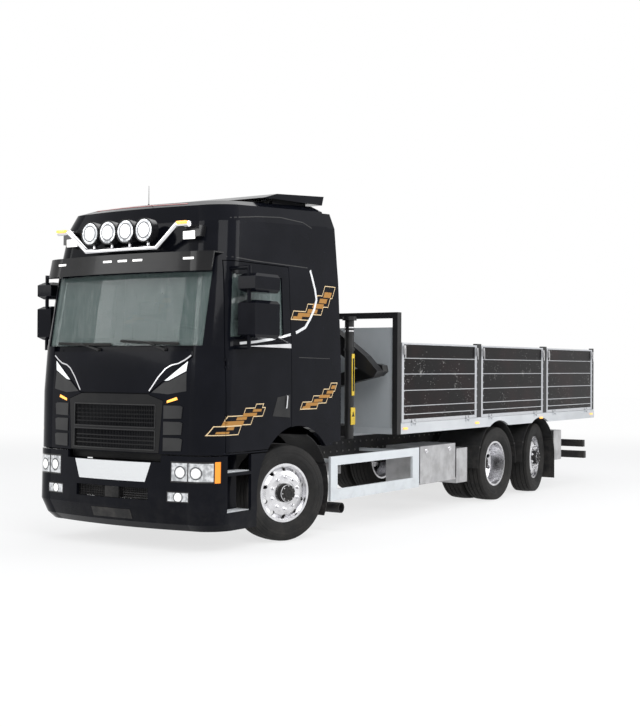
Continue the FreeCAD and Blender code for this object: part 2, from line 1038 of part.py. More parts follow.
def axles():
    """The beams and springs that carry the knuckles, and the driven axle's housing."""
    front_springs = spring_pack(front_axle, S.rail_bottom)
    front_set = fuse(axle_beam(front_axle), front_springs, mirrored(front_springs))
    arm_z = (S.tyre_radius - S.axle_beam_depth / 2, S.tyre_radius + S.axle_beam_depth / 2)
    tag_set = [axle_beam(tag_axle)]
    centre = (drive_axle, S.tyre_radius)
    tube_end = S.twin_centre - S.hub_depth - S.moving_gap
    spindle_end = S.twin_centre + S.spindle_length - S.disc_thickness * 2 - S.moving_gap
    housing = [
        rod("X", centre, (-tube_end, tube_end), S.axle_tube_radius),
        rod("X", centre, (-S.final_drive_width / 2, S.final_drive_width / 2), S.final_drive_radius),
        rod("X", centre, (-spindle_end, spindle_end), S.spindle_radius - S.pin_gap),
    ]
    middle = S.rail_outer - S.rail_flange / 2
    half = S.spring_width / 2
    for axle_y, pieces in ((drive_axle, housing), (tag_axle, tag_set)):
        bellows_y = axle_y + S.bellows_shift
        arm_y = (axle_y - S.arm_lead, bellows_y + S.bellows_radius)
        for side in (-1, 1):
            x = (middle * side - half, middle * side + half)
            pieces.append(box(x, arm_y, arm_z))
            pieces.append(rod("Z", (middle * side, bellows_y), (arm_z[1], S.rail_bottom), S.bellows_radius))
    export("axles", apart(front_set, fuse(*housing), fuse(*tag_set)))


def chassis_frame():
    """Two channel rails joined by tubes, with the coupling plate in the last cross member."""
    low = front + S.frame_front_setback
    high = rear - S.frame_rear_setback
    inner = S.rail_outer - S.rail_flange
    web = S.rail_web
    channel = prism("Y", [
        (inner, S.rail_bottom), (S.rail_outer, S.rail_bottom), (S.rail_outer, S.rail_top),
        (inner, S.rail_top), (inner, S.rail_top - web), (S.rail_outer - web, S.rail_top - web),
        (S.rail_outer - web, S.rail_bottom + web), (inner, S.rail_bottom + web),
    ], (low, high))
    middle = (S.rail_bottom + S.rail_top) / 2
    web_x = S.rail_outer - web / 2
    stations = [
        low + S.cross_tube_radius * 2,
        front_axle + S.engine_rear + S.cross_tube_radius * 4,
        S.middle_tube_y,
        drive_axle - S.guard_radius,
        (drive_axle + tag_axle) / 2,
        tag_axle + S.guard_radius,
    ]
    tubes = [rod("X", (y, middle), (-web_x, web_x), S.cross_tube_radius) for y in stations]
    thick = S.coupling_plate_thickness
    plate = box((-web_x, web_x), (high - thick, high), (S.rail_bottom, S.rail_top))
    frame = fuse(channel, mirrored(channel), *tubes, plate)
    across = S.coupling_spacing_across / 2
    up = S.coupling_spacing_up / 2
    hole_y = (high - thick * 2, high + thick)
    holes = [
        rod("Y", (across * i, middle + up * j), hole_y, S.coupling_hole_radius)
        for i in (-1, 1) for j in (-1, 1)
    ]
    export("chassis_frame", fuse(cut(frame, *holes), exhaust_outlet()))


def engine():
    """The engine block on four brackets between the rails, its radiator and the fan's shroud."""
    y = (front_axle + S.engine_front, front_axle + S.engine_rear)
    block = box((-S.engine_half_width, S.engine_half_width), y, (S.engine_bottom, S.engine_top))
    web = S.rail_outer - S.rail_web
    middle = (S.rail_bottom + S.rail_top) / 2
    bracket_z = (middle - S.bracket_depth / 2, middle + S.bracket_depth / 2)
    brackets = [
        box((-web, web), (spot, spot + S.bracket_depth), bracket_z)
        for spot in (y[0] + S.bracket_depth * 2, y[1] - S.bracket_depth * 3)
    ]
    radiator_y = (front + S.radiator_setback, front + S.radiator_setback + S.radiator_depth)
    radiator = box((-S.radiator_half, S.radiator_half), radiator_y, (S.radiator_bottom, S.radiator_top))
    shroud = box((-S.shroud_half, S.shroud_half), (radiator_y[1], y[0]),
                 (S.radiator_bottom + S.shroud_edge, S.radiator_top - S.shroud_edge))
    export("engine_block", fuse(block, *brackets, radiator, shroud))


def wheel_arch(extra):
    """A round arch through both sides over the steered wheels."""
    reach = S.body_width
    return rod("X", (front_axle + S.arch_shift, S.arch_height), (-reach, reach), S.arch_radius + extra)


def door_outline(grow):
    """The door's edge in the side view, grown by a seam."""
    return [
        (front_axle - S.door_front - grow, S.door_bottom - grow),
        (front_axle - S.door_rear + grow, S.door_bottom - grow),
        (front_axle - S.door_rear + grow, S.door_top + grow),
        (front_axle - S.door_front_top - grow, S.door_top + grow),
        (front_axle - S.door_front - grow, S.cab_belt),
    ]


def window_outline():
    """The door window's edge in the side view."""
    return [
        (front_axle - S.window_front, S.window_bottom),
        (front_axle - S.window_rear, S.window_bottom + S.window_sill_rise),
        (front_axle - S.window_rear, S.window_top),
        (front_axle - S.window_front_top, S.window_top),
    ]


def windscreen_outline():
    """The windscreen's edge in the front view."""
    return [
        (-S.windscreen_half_bottom, S.windscreen_bottom), (S.windscreen_half_bottom, S.windscreen_bottom),
        (S.windscreen_half_top, S.windscreen_top), (-S.windscreen_half_top, S.windscreen_top),
    ]


def lid_outline(grow, top):
    """The front lid's face: narrow at its lower edge and wide under the windscreen."""
    low_half = S.lid_half_bottom + grow
    high_half = S.lid_half_top + grow
    low = S.lid_bottom - grow
    corner = S.lid_top_corner - grow
    return [
        (-low_half, low), (low_half, low), (high_half, corner),
        (high_half, top), (-high_half, top), (-high_half, corner),
    ]


def cab():
    """The hollow cab, its panels, its glass and what is fixed to it."""
    reach = S.body_width
    side_span = (S.cab_corner_width * 2, reach)
    nose_span = (front - reach, front_axle - S.door_front + S.cab_corner_depth)
    outer = cab_form(size(0), None, None)
    room = cab_form(S.cab_wall, S.cab_floor_top, reach * 2)
    engine_bay = cab_form(S.cab_wall, S.cab_base - S.cab_wall, S.cab_floor_bottom)
    door_gap = prism("X", door_outline(S.seam), side_span)
    screen_hole = prism("Y", windscreen_outline(), nose_span)
    nose_skin = front_only(layer(-S.cab_wall, S.lid_recess))
    lid_room = prism("Y", lid_outline(S.seam, S.lid_room_top), nose_span)
    grille_room = prism("Y", grille_outline(S.seam / 2), nose_span)
    recess = common(nose_skin, fuse(lid_room, grille_room))
    shell = cut(outer, room, engine_bay, wheel_arch(0), door_gap, mirrored(door_gap), screen_hole, recess)
    buffer_skin = front_only(layer(S.lid_thickness + S.seat_gap, S.lid_recess + S.seam))
    half = S.buffer_size / 2
    buffers = [
        common(buffer_skin, box((x * side - half, x * side + half), nose_span, (z - half, z + half)))
        for side in (-1, 1)
        for x, z in ((S.buffer_low_x, S.buffer_low_z), (S.buffer_high_x, S.buffer_high_z))
    ]
    hinge_ears, hinge_pins = door_hinge_ears()
    shell = cut(shell, *door_hinge_rooms())
    export("cab_shell", fuse(shell, *buffers, *hinge_ears, *hinge_pins))

    glass = layer(S.glass_inset, S.glass_inset + S.glass_thickness)
    export("windscreen", common(glass, prism("Y", windscreen_outline(), nose_span)))
    lid_face = prism("Y", lid_outline(size(0), S.lid_top), nose_span)
    export("front_lid", common(front_only(layer(0, S.lid_thickness)), lid_face))
    grille()
    visor()
    doors(side_span)


def door_hinge_axis():
    """Where a left door's upright hinge line stands."""
    return S.door_hinge_x, front_axle - S.door_hinge_front


def left_and_right(pieces):
    """Left-hand pieces with their right-hand twins."""
    return pieces + [mirrored(item) for item in pieces]


def door_hinge_ears():
    """Ears above and below each door hinge's eye on the cab, and the pins through them."""
    x, y = door_hinge_axis()
    half = S.door_eye_length / 2
    outer = half + S.moving_gap + S.door_eye_length / 2
    reach = S.door_eye_radius
    ears = []
    pins = []
    for middle in (S.door_hinge_low, S.door_hinge_high):
        gap = half + S.moving_gap
        for low, high in ((middle - outer, middle - gap), (middle + gap, middle + outer)):
            ears.append(rod("Z", (x, y), (low, high), reach))
            ears.append(box((x - reach * 4, x), (y - reach * 2, y - reach / 2), (low, high)))
        pins.append(rod("Z", (x, y), (middle - outer, middle + outer), S.door_pin_radius))
    return left_and_right(ears), left_and_right(pins)


def door_hinge_rooms():
    """The room that each door's eyes need to turn in the cab's edge."""
    x, y = door_hinge_axis()
    half = S.door_eye_length / 2 + S.moving_gap
    rooms = [
        rod("Z", (x, y), (middle - half, middle + half), S.door_eye_radius + S.moving_gap)
        for middle in (S.door_hinge_low, S.door_hinge_high)
    ]
    return left_and_right(rooms)


def door_eyes():
    """The left door's eyes with their straps, and the bores for the pins."""
    x, y = door_hinge_axis()
    half = S.door_eye_length / 2
    reach = S.door_eye_radius
    eyes = []
    bores = []
    for middle in (S.door_hinge_low, S.door_hinge_high):
        eyes.append(rod("Z", (x, y), (middle - half, middle + half), reach))
        eyes.append(box((x - reach * 3, x), (y, y + reach * 3), (middle - half, middle + half)))
        bores.append(rod("Z", (x, y), (middle - half * 2, middle + half * 2), S.door_pin_radius + S.pin_gap))
    return eyes, bores


def grille_outline(grow):
    """The grille panel's edge in the front view, grown by a seam."""
    low_half = S.grille_half_bottom + grow
    high_half = S.grille_half_top + grow
    neck_half = S.grille_neck_half + grow
    low = S.grille_bottom - grow
    top = S.grille_top + grow
    corner = top - S.grille_corner_drop
    return [
        (-low_half, low), (low_half, low), (high_half, corner),
        (neck_half, top), (-neck_half, top), (-high_half, corner),
    ]


def grille():
    """The grille panel below the lid, with two openings crossed by slats."""
    reach = S.body_width
    nose_span = (front - reach, front_axle - S.door_front)
    skin = front_only(layer(0, S.grille_thickness))
    panel = common(skin, prism("Y", grille_outline(0), nose_span))
    slots = []
    bars = []
    half = S.grille_slot_half
    for low, high in (
        (S.grille_slot_upper_bottom, S.grille_slot_upper_top),
        (S.grille_slot_lower_bottom, S.grille_slot_lower_top),
    ):
        slots.append(box((-half, half), nose_span, (low, high)))
        count = int((high.value - low.value) // S.grille_bar_pitch.value)
        for i in range(1, count):
            middle = low + S.grille_bar_pitch * i
            bars.append(box((-half, half), nose_span, (middle - S.grille_bar / 2, middle + S.grille_bar / 2)))
    back = front_only(layer(S.grille_bar, S.grille_thickness))
    export("grille_panel", fuse(cut(panel, *slots), common(back, fuse(*bars))))


def visor():
    """The sun visor: a bowed board hung from the roof's front edge."""
    reach = S.body_width
    half = S.visor_half
    nose_span = (front - reach, front_axle - S.door_front + S.cab_corner_depth / 4)
    board_low = S.cab_crown - S.visor_drop
    board = common(layer(-S.visor_reach, -S.visor_reach + S.visor_thickness),
                   box((-half, half), nose_span, (board_low, S.cab_crown)))
    shelf = common(layer(-S.visor_reach, -S.seat_gap),
                   box((-half, half), nose_span, (S.cab_crown - S.visor_thickness, S.cab_crown)))
    export("sun_visor", fuse(board, shelf))


def doors(side_span):
    """Both doors, with their glass and mirrors."""
    skin = layer(0, S.cab_wall)
    leaf = common(skin, prism("X", door_outline(0), side_span))
    opening = prism("X", window_outline(), side_span)
    leaf = cut(leaf, opening, wheel_arch(S.seam))
    pane = common(layer(S.glass_inset, S.glass_inset + S.glass_thickness),
                  prism("X", window_outline(), side_span))
    eyes, bores = door_eyes()
    x, y = door_hinge_axis()
    ear_half = S.door_eye_length + S.moving_gap * 2
    rooms = [
        rod("Z", (x, y), (middle - ear_half, middle + ear_half), S.door_eye_radius + S.moving_gap)
        for middle in (S.door_hinge_low, S.door_hinge_high)
    ]
    leaf = cut(fuse(cut(leaf, *rooms), *eyes, mirror_set()), *bores)
    export("door_left", leaf)
    export("door_right", mirrored(leaf))
    export("door_glass_left", pane)
    export("door_glass_right", mirrored(pane))


def mirror_pod(x, y, z):
    """A mirror's housing: a block with its edges cut back, deeper behind its glass."""
    edge = S.mirror_edge
    front_view = prism("Y", [
        (x[0] + edge, z[0]), (x[1] - edge, z[0]), (x[1], z[0] + edge), (x[1], z[1] - edge),
        (x[1] - edge, z[1]), (x[0] + edge, z[1]), (x[0], z[1] - edge), (x[0], z[0] + edge),
    ], y)
    side_view = prism("X", [
        (y[0] + edge * 2, z[0]), (y[1], z[0]), (y[1], z[1]), (y[0] + edge * 2, z[1]),
        (y[0], z[1] - edge), (y[0], z[0] + edge),
    ], x)
    return common(front_view, side_view)


def mirror_set():
    """The left door's main and wide mirrors on their two arms."""
    x = (S.mirror_centre - S.mirror_half_width, S.mirror_centre + S.mirror_half_width)
    y = (front_axle - S.mirror_front, front_axle - S.mirror_rear)
    main = mirror_pod(x, y, (S.mirror_main_bottom, S.mirror_main_top))
    wide = mirror_pod(x, y, (S.mirror_wide_bottom, S.mirror_wide_top))
    arm_y = front_axle - S.mirror_arm_front + S.mirror_arm_radius
    low_root = S.cab_belt_half - S.cab_wall / 2
    high_root = S.cab_brow_half - S.mirror_arm_root
    arms = [
        rod("X", (arm_y, height), (root, S.mirror_centre), S.mirror_arm_radius)
        for root, height in ((low_root, S.mirror_arm_low), (high_root, S.mirror_arm_high))
    ]
    post_z = (S.mirror_arm_low - S.mirror_arm_radius, S.mirror_arm_high + S.mirror_arm_radius)
    post = rod("Z", (S.mirror_centre, arm_y), post_z, S.mirror_arm_radius)
    return fuse(main, wide, post, *arms)


def roof_gear():
    """The lamp bar, the corner lamps, the wing and the side fairings."""
    reach = front_axle - S.cab_crown_nose - S.bar_reach
    radius = S.bar_tube_radius
    tubes = [rod("X", (reach, S.bar_low), (-S.bar_low_half, S.bar_low_half), radius)]
    for side in (-1, 1):
        tubes.append(slanted_rod(reach, side, S.bar_low_half, S.bar_low, S.bar_rise_half, S.bar_high, radius))
        tubes.append(ball(S.bar_low_half * side, reach, S.bar_low, radius))
        tubes.append(ball(S.bar_rise_half * side, reach, S.bar_high, radius))
        end = (S.bar_rise_half * side, S.bar_end_half * side)
        tubes.append(rod("X", (reach, S.bar_high), (end if side > 0 else end[::-1]), radius))
        back = front_axle - S.cab_shoulder_nose + S.cab_bow + S.bar_reach
        tubes.append(rod("Y", (S.bar_rise_half * side, S.bar_high), (reach, back), S.bar_foot_radius))
        foot_y = (reach, reach + S.bar_foot_length)
        tubes.append(rod("Y", (S.bar_low_half / 2 * side, S.bar_low), foot_y, S.bar_foot_radius))
        for middle in (S.spot_inner, S.spot_outer):
            lamp = (reach - radius - S.spot_depth / 2, reach - radius + S.spot_depth / 2)
            tubes.append(rod("Y", (middle * side, S.spot_height), lamp, S.spot_radius))
            tubes.append(rod("Z", (middle * side, reach), (S.bar_low, S.spot_height), S.bar_foot_radius))
    cab_solid = cab_form(-S.seat_gap, None, None)
    bar = cut(fuse(*tubes), cab_solid)

    lamps = []
    for side in (-1, 1):
        centre = S.corner_lamp_centre * side
        x = (centre - S.corner_lamp_width / 2, centre + S.corner_lamp_width / 2)
        face = front_axle - S.cab_shoulder_nose
        y = (face + S.bar_reach / 2 - S.corner_lamp_depth, face + S.cab_corner_depth)
        z = (S.corner_lamp_bottom, S.corner_lamp_bottom + S.corner_lamp_height)
        lamps.append(box(x, y, z))
    export("lamp_bar", apart(bar, *[cut(lamp, cab_solid) for lamp in lamps]))

    wing = prism("X", [
        (front_axle - S.wing_front, S.wing_low),
        (front_axle - S.wing_rear - S.wing_lip, S.wing_low + S.wing_lip),
        (front_axle - S.wing_rear, S.wing_top_rear),
        (front_axle - S.wing_shoulder, S.wing_top_front),
    ], (-S.wing_half, S.wing_half))
    legs = []
    for side in (-1, 1):
        x = (S.wing_leg_x * side - S.wing_leg / 2, S.wing_leg_x * side + S.wing_leg / 2)
        y = (front_axle - S.wing_shoulder + S.wing_leg * 2, cab_back - S.wing_leg)
        legs.append(box(x, y, (S.cab_roof, S.wing_top_front - S.wing_lip / 2)))
    wing = fuse(wing, *[cut(leg, cab_solid) for leg in legs])

    fairing_span = (cab_back + S.seat_gap, cab_back + S.cab_back_fairing)
    blade = cut(stretched_cab(size(0)), stretched_cab(S.deflector_wall))
    keep_z = (S.fairing_bottom, S.cab_roof + S.cab_roof_rise)
    keep = box((S.blade_inner_half, half_width), fairing_span, keep_z)
    side_blade = common(blade, keep)
    export("cab_fairings", apart(wing, side_blade, mirrored(side_blade)))


def stretched_cab(inset):
    """The cab's section carried on past its back wall."""
    back = cab_back + S.cab_back_fairing * 2 + inset
    stations = wall_stations() + roof_stations(0)[:1]
    return lofted([
        plan_wire(height, half, nose, back, rise, inset) for height, half, nose, rise in stations
    ])


def ball(x, y, z, radius):
    """A ball about a point."""
    item = doc.addObject("Part::Sphere", "Ball")
    bind(item, "Radius", radius)
    return place(item, x, y, z)


def hypotenuse(a, b):
    """The long side of a right triangle."""
    return Size(math.hypot(a.value, b.value), f"hypot({a.text}; {b.text})")


def slanted_rod(y, side, x1, z1, x2, z2, radius):
    """A round bar in the XZ plane between two points given for the left-hand side."""
    item = doc.addObject("Part::Cylinder", "Slanted")
    run = x2 - x1
    climb = z2 - z1
    bind(item, "Radius", radius)
    bind(item, "Height", hypotenuse(run, climb))
    angle = math.degrees(math.atan2(run.value, climb.value)) * side
    item.Placement = FreeCAD.Placement(FreeCAD.Vector(), FreeCAD.Rotation(FreeCAD.Vector(0, 1, 0), angle))
    return place(item, x1 * side, y, z1)


def cab_inside():
    """Dashboard with its wheel, two seats and the bunk."""
    low = S.cab_floor_top
    wall_y = front_axle - S.cab_belt_nose + S.cab_wall + S.dash_gap
    dash_form = cab_form(S.cab_wall + S.dash_gap, S.dash_bottom, S.dash_top)
    reach = S.body_width
    dash_rear = wall_y + S.dash_depth
    dash = common(dash_form, box((-reach, reach), (front - reach, dash_rear), (low, S.dash_top)))
    foot_y = (dash_rear - S.dash_foot * 3, dash_rear - S.dash_foot)
    feet = [
        box((x - S.dash_foot, x + S.dash_foot), foot_y, (low, S.dash_bottom + S.seat_gap))
        for x in (-S.seat_centre, size(0), S.seat_centre)
    ]
    export("dashboard", fuse(dash, *feet))

    wheel = doc.addObject("Part::Torus", "SteeringRim")
    bind(wheel, "Radius1", S.steering_radius)
    bind(wheel, "Radius2", S.steering_rim)
    hub = rod("Z", (0, 0), (-S.dash_depth / 2, S.steering_rim), S.steering_rim * 2)
    rim = (-S.steering_rim, S.steering_rim)
    spline = (-S.steering_rim / 4, S.steering_rim / 4)
    spoke = box((-S.steering_radius, S.steering_radius), rim, (-S.steering_rim / 2, S.steering_rim / 2))
    socket = box(spline, spline, (-S.dash_depth, S.steering_rim - S.dash_depth / 2))
    steering = cut(fuse(wheel, hub, spoke), socket)
    turn = FreeCAD.Rotation(FreeCAD.Vector(1, 0, 0), -S.steering_tilt.value)
    steering.Placement = FreeCAD.Placement(FreeCAD.Vector(), turn)
    hub_y = front_axle - S.steering_reach + S.dash_depth / 4
    place(steering, S.seat_centre, hub_y, S.steering_height + S.dash_gap * 2)
    export("steering_wheel", cut(steering, dash))

    seats = []
    seat_y = (front_axle - S.seat_front, front_axle - S.seat_front + S.seat_depth)
    seat_low = S.seat_height - S.cushion_thickness
    for side in (-1, 1):
        centre = S.seat_centre * side
        x = (centre - S.seat_width / 2, centre + S.seat_width / 2)
        cushion = box(x, seat_y, (seat_low, S.seat_height))
        back_y = (seat_y[1] - S.backrest_thickness, seat_y[1])
        back = box(x, back_y, (seat_low, S.seat_height + S.backrest_height))
        foot_x = (centre - S.seat_pedestal / 2, centre + S.seat_pedestal / 2)
        foot_y = (seat_y[0] + S.seat_foot_inset, seat_y[1] - S.seat_foot_inset)
        seats.append(fuse(cushion, back, box(foot_x, foot_y, (low, seat_low))))
    bunk_rear = cab_back - S.cab_wall - S.seat_gap
    bunk_y = (bunk_rear - S.bunk_depth, bunk_rear)
    mattress = box((-S.bunk_half, S.bunk_half), bunk_y, (S.bunk_bottom, S.bunk_top))
    chest_y = (bunk_y[0] + S.chest_setback, bunk_y[1])
    chest = box((-S.chest_half, S.chest_half), chest_y, (low, S.bunk_bottom))
    export("seats_and_bunk", apart(*seats, fuse(mattress, chest)))


def bumper_form(inset):
    """The bumper's outer form, drawn in by an inset."""
    back = front_axle - S.step_clear
    reach = S.front_overhang
    stations = [
        (S.bumper_side_bottom, S.bumper_half - S.bumper_chin_setback, reach - S.bumper_lip_setback),
        (S.bumper_bottom, S.bumper_half - S.bumper_wall, reach - S.bumper_chin_setback),
        (S.bumper_chin, S.bumper_half, reach),
        (S.bumper_corner_top, S.bumper_half, reach - S.seam),
    ]
    return lofted([plan_wire(z, half, nose, back, size(0), size(inset)) for z, half, nose in stations])


def bumper():
    """The bumper and steps, its lamps and the blank sign."""
    reach = S.body_width
    nose_span = (front - reach, front_axle - S.step_front + S.bumper_wall)
    shell = cut(bumper_form(0), bumper_form(S.bumper_wall), wheel_arch(S.moving_gap))
    shell = cut(shell, box((-S.bumper_corner_half, S.bumper_corner_half), nose_span, (S.bumper_top, reach)))
    tread_x = (S.bumper_half - S.step_depth, S.bumper_half - S.bumper_wall / 2)
    tread_y = (front_axle - S.step_front, front_axle - S.step_rear)
    pockets = []
    treads = []
    low_pocket = (S.step_low, S.step_high - S.step_tread)
    high_pocket = (S.step_high, S.bumper_corner_top + S.step_tread)
    for low, high in (low_pocket, high_pocket):
        pocket = box((tread_x[0], reach), tread_y, (low, high))
        pockets.extend([pocket, mirrored(pocket)])
        tread = box(tread_x, tread_y, (low - S.step_tread, low))
        treads.extend([tread, mirrored(tread)])
    wall_x = tread_x[0] - S.bumper_wall / 2
    wall_z = (S.step_low - S.step_tread, S.bumper_corner_top)
    wall = box((wall_x, tread_x[0]), tread_y, wall_z)
    jamb = box((wall_x, tread_x[1]), (tread_y[0] - S.bumper_wall / 2, tread_y[0]), wall_z)
    shell = cut(shell, *pockets)
    low_slot = box((-S.air_slot_half, S.air_slot_half), nose_span, (S.air_slot_bottom, S.air_slot_top))
    skin = cut(bumper_form(0), bumper_form(S.lamp_depth))
    sign_skin = cut(bumper_form(0), bumper_form(S.seam))
    sign = common(sign_skin, prism("Y", [
        (-S.sign_half_bottom, S.sign_bottom), (S.sign_half_bottom, S.sign_bottom),
        (S.sign_half_top, S.sign_top), (-S.sign_half_top, S.sign_top),
    ], nose_span))
    lamp_span = (front - reach, front + S.lamp_wrap)
    socket_span = (front - reach, front + S.lamp_wrap + S.lamp_seam)
    lamps = []
    sockets = []
    for inner, outer, low, high in (
        (S.headlamp_inner, S.headlamp_outer, S.headlamp_bottom, S.headlamp_top),
        (S.fog_inner, S.fog_outer, S.fog_bottom, S.fog_top),
    ):
        lamp = common(skin, box((inner, outer), lamp_span, (low, high)))
        socket_x = (inner - S.lamp_seam, outer + S.lamp_seam)
        socket = box(socket_x, socket_span, (low - S.lamp_seam, high + S.lamp_seam))
        lamps.append(lamp)
        sockets.append(common(cut(bumper_form(-S.seam), bumper_form(S.lamp_depth)), socket))
    sockets = [mirrored(item) for item in sockets] + sockets
    arm = box((-S.bumper_half + S.step_depth, S.bumper_half - S.step_depth),
              (front + S.frame_front_setback - S.bracket_depth, front + S.frame_front_setback),
              (S.rail_bottom, S.rail_bottom + S.bracket_depth))
    shell = cut(shell, low_slot, sign, *sockets)
    walls = left_and_right([wall, jamb])
    export("front_bumper", fuse(shell, *walls, *treads, cut(arm, *sockets)))
    export("front_lamps", apart(*lamps, *[mirrored(item) for item in lamps], sign))


def ring_guard(axle_y, radius, x, low, sweep_from, sweep_to):
    """A curved guard over a wheel between two Y places, open below a height."""
    centre = (axle_y, S.tyre_radius)
    bore_x = (x[0] - S.guard_wall, x[1] + S.guard_wall)
    hoop = cut(rod("X", centre, x, radius), rod("X", centre, bore_x, radius - S.guard_wall))
    return common(hoop, box(x, (sweep_from, sweep_to), (low, S.tyre_radius + radius)))


def mudguards():
    """Round guards over every wheel with their carrier bars and the rear flaps."""
    pieces = []
    web_x = S.rail_outer
    x = (S.front_guard_inner, S.front_guard_outer)
    start = front_axle + S.front_guard_start
    hoop = ring_guard(front_axle, S.front_guard_radius, x, S.front_flap_bottom, start,
                      front_axle + S.front_guard_radius)
    reach = S.front_guard_radius - S.guard_wall / 2
    bar_y = front_axle + reach * cosine(S.guard_bar_angle)
    bar_z = S.tyre_radius + reach * sine(S.guard_bar_angle)
    carrier = rod("X", (bar_y, bar_z), (web_x, S.front_guard_outer), S.bar_foot_radius)
    pieces.append(fuse(hoop, carrier))
    x = (S.guard_inner_x, S.guard_outer_x)
    low = S.tyre_radius - S.bracket_depth / 2
    for axle_y in (drive_axle, tag_axle):
        hoop = ring_guard(axle_y, S.guard_radius, x, low, axle_y - S.guard_radius, axle_y + S.guard_radius)
        bar_shift = S.guard_radius - S.bracket_depth
        bars = [
            rod("X", (spot, S.guard_bar_height), (web_x, S.guard_outer_x), S.bar_foot_radius)
            for spot in (axle_y - bar_shift, axle_y + bar_shift)
        ]
        pieces.append(fuse(hoop, *bars))
    flap_y = (tag_axle + S.guard_radius - S.flap_thickness, tag_axle + S.guard_radius)
    flap = box(x, flap_y, (S.flap_bottom, low + S.flap_thickness))
    pieces[-1] = fuse(pieces[-1], flap)
    export("mudguards", apart(*pieces, *[mirrored(item) for item in pieces]))


def skirts():
    """Open side skirts, each on three stays."""
    y = (S.skirt_front, S.skirt_rear)
    x = (S.skirt_outer - S.skirt_depth, S.skirt_outer)
    panel = cut(
        box(x, y, (S.skirt_bottom, S.skirt_top)),
        box((x[0] - S.skirt_depth, x[1] + S.skirt_depth),
            (y[0] + S.skirt_frame_front, y[1] - S.skirt_frame_rear),
            (S.skirt_bottom + S.skirt_frame_low, S.skirt_top - S.skirt_frame_high)),
    )
    stay_z = S.skirt_top - S.skirt_frame_high / 2
    half = S.skirt_stay / 2
    stay_x = (S.rail_outer, x[0] + S.skirt_depth / 2)
    stays = [
        box(stay_x, (spot - half, spot + half), (stay_z - half, stay_z + half))
        for spot in (y[0] + S.skirt_frame_front / 2, y[1] - S.skirt_frame_rear / 2)
    ]
    export("side_skirts", both(fuse(panel, *stays)))


def boxes():
    """Stainless boxes between the skirts and the rear wheels, hung from the rails."""
    x = (S.box_inner, S.box_outer)
    y = (S.box_front, S.box_front + S.box_length)
    wall = S.box_wall
    door_x = S.box_door + S.moving_gap
    shell = cut(
        box((x[0], x[1] - door_x), y, (S.box_bottom, S.box_top)),
        box((x[0] + wall, x[1]), (y[0] + wall, y[1] - wall), (S.box_bottom + wall, S.box_top - wall)),
    )
    hinge = (x[1] - S.box_door / 2, S.box_bottom + S.hinge_eye_radius)
    slim_y = (y[1] + S.slim_box_gap, y[1] + S.slim_box_gap + S.slim_box_length)
    slim = box((x[0], x[1]), slim_y, (S.slim_box_bottom, S.slim_box_top))
    tail_y = (S.tail_box_front, S.tail_box_front + S.tail_box_length)
    tail = box((x[0], S.tail_box_outer), tail_y, (S.tail_box_bottom, S.tail_box_top))
    carried = []
    for body, spots in ((shell, y), (slim, slim_y), (tail, tail_y)):
        middle = (spots[0] + spots[1]) / 2
        stay = box((S.rail_outer, x[0] + wall / 2), (middle - S.skirt_stay, middle + S.skirt_stay),
                   (S.slim_box_top - S.skirt_stay, S.slim_box_top))
        carried.append(fuse(body, stay))
    pins = rod("Y", hinge, (y[0], y[1]), S.hinge_pin_radius)
    ear_z = (S.box_bottom, S.box_bottom + S.hinge_eye_radius * 2)
    ears = [box((x[1] - door_x - wall, x[1]), (spot, spot + wall), ear_z) for spot in (y[0], y[1] - wall)]
    carried[0] = fuse(carried[0], pins, *ears)
    export("side_boxes", apart(*carried, *[mirrored(item) for item in carried]))
    door_y = (y[0] + wall + S.moving_gap, y[1] - wall - S.moving_gap)
    leaf = box((x[1] - S.box_door, x[1]), door_y, (hinge[1], S.box_top))
    knuckle_bar = rod("Y", hinge, door_y, S.box_door / 2 + S.hinge_pin_radius / 2)
    bore = rod("Y", hinge, (y[0], y[1]), S.hinge_pin_radius + S.pin_gap)
    leaf = cut(fuse(leaf, knuckle_bar), bore)
    export("box_door_left", leaf)
    export("box_door_right", mirrored(leaf))


def tank():
    """The fuel tank on the right-hand rail with its two straps."""
    y = (S.tank_front, S.tank_front + S.tank_length)
    shell = rod("Y", (-S.tank_centre, S.tank_height), y, S.tank_radius)
    strap_x = (-S.tank_centre, -S.rail_outer)
    width = S.tank_strap
    straps = [
        box(strap_x, (spot, spot + width), (S.tank_height - width, S.tank_height + width))
        for spot in (y[0] + width * 2, y[1] - width * 3)
    ]
    export("fuel_tank", fuse(shell, *straps))


def exhaust_outlet():
    """The round outlet behind the cab on its hanger."""
    centre = (S.outlet_y, S.outlet_height)
    outlet = rod("X", centre, (S.rail_outer / 2, S.outlet_outer), S.outlet_radius)
    bore = rod("X", centre, (S.rail_outer, S.outlet_outer + S.seam), S.outlet_radius - S.seam)
    hanger = box((S.rail_outer - S.rail_flange, S.rail_outer), (S.outlet_y - S.seam, S.outlet_y + S.seam),
                 (S.outlet_height + S.outlet_radius / 2, S.rail_bottom))
    return cut(fuse(outlet, hanger), bore)


tail_face = rear - S.hinge_offset - S.hinge_eye_radius
hinge_height = S.gate_bottom - S.hinge_offset


def hinge_spots(length):
    """Where a gate's two hinges stand along it."""
    return (S.gate_inset, length - S.gate_inset)


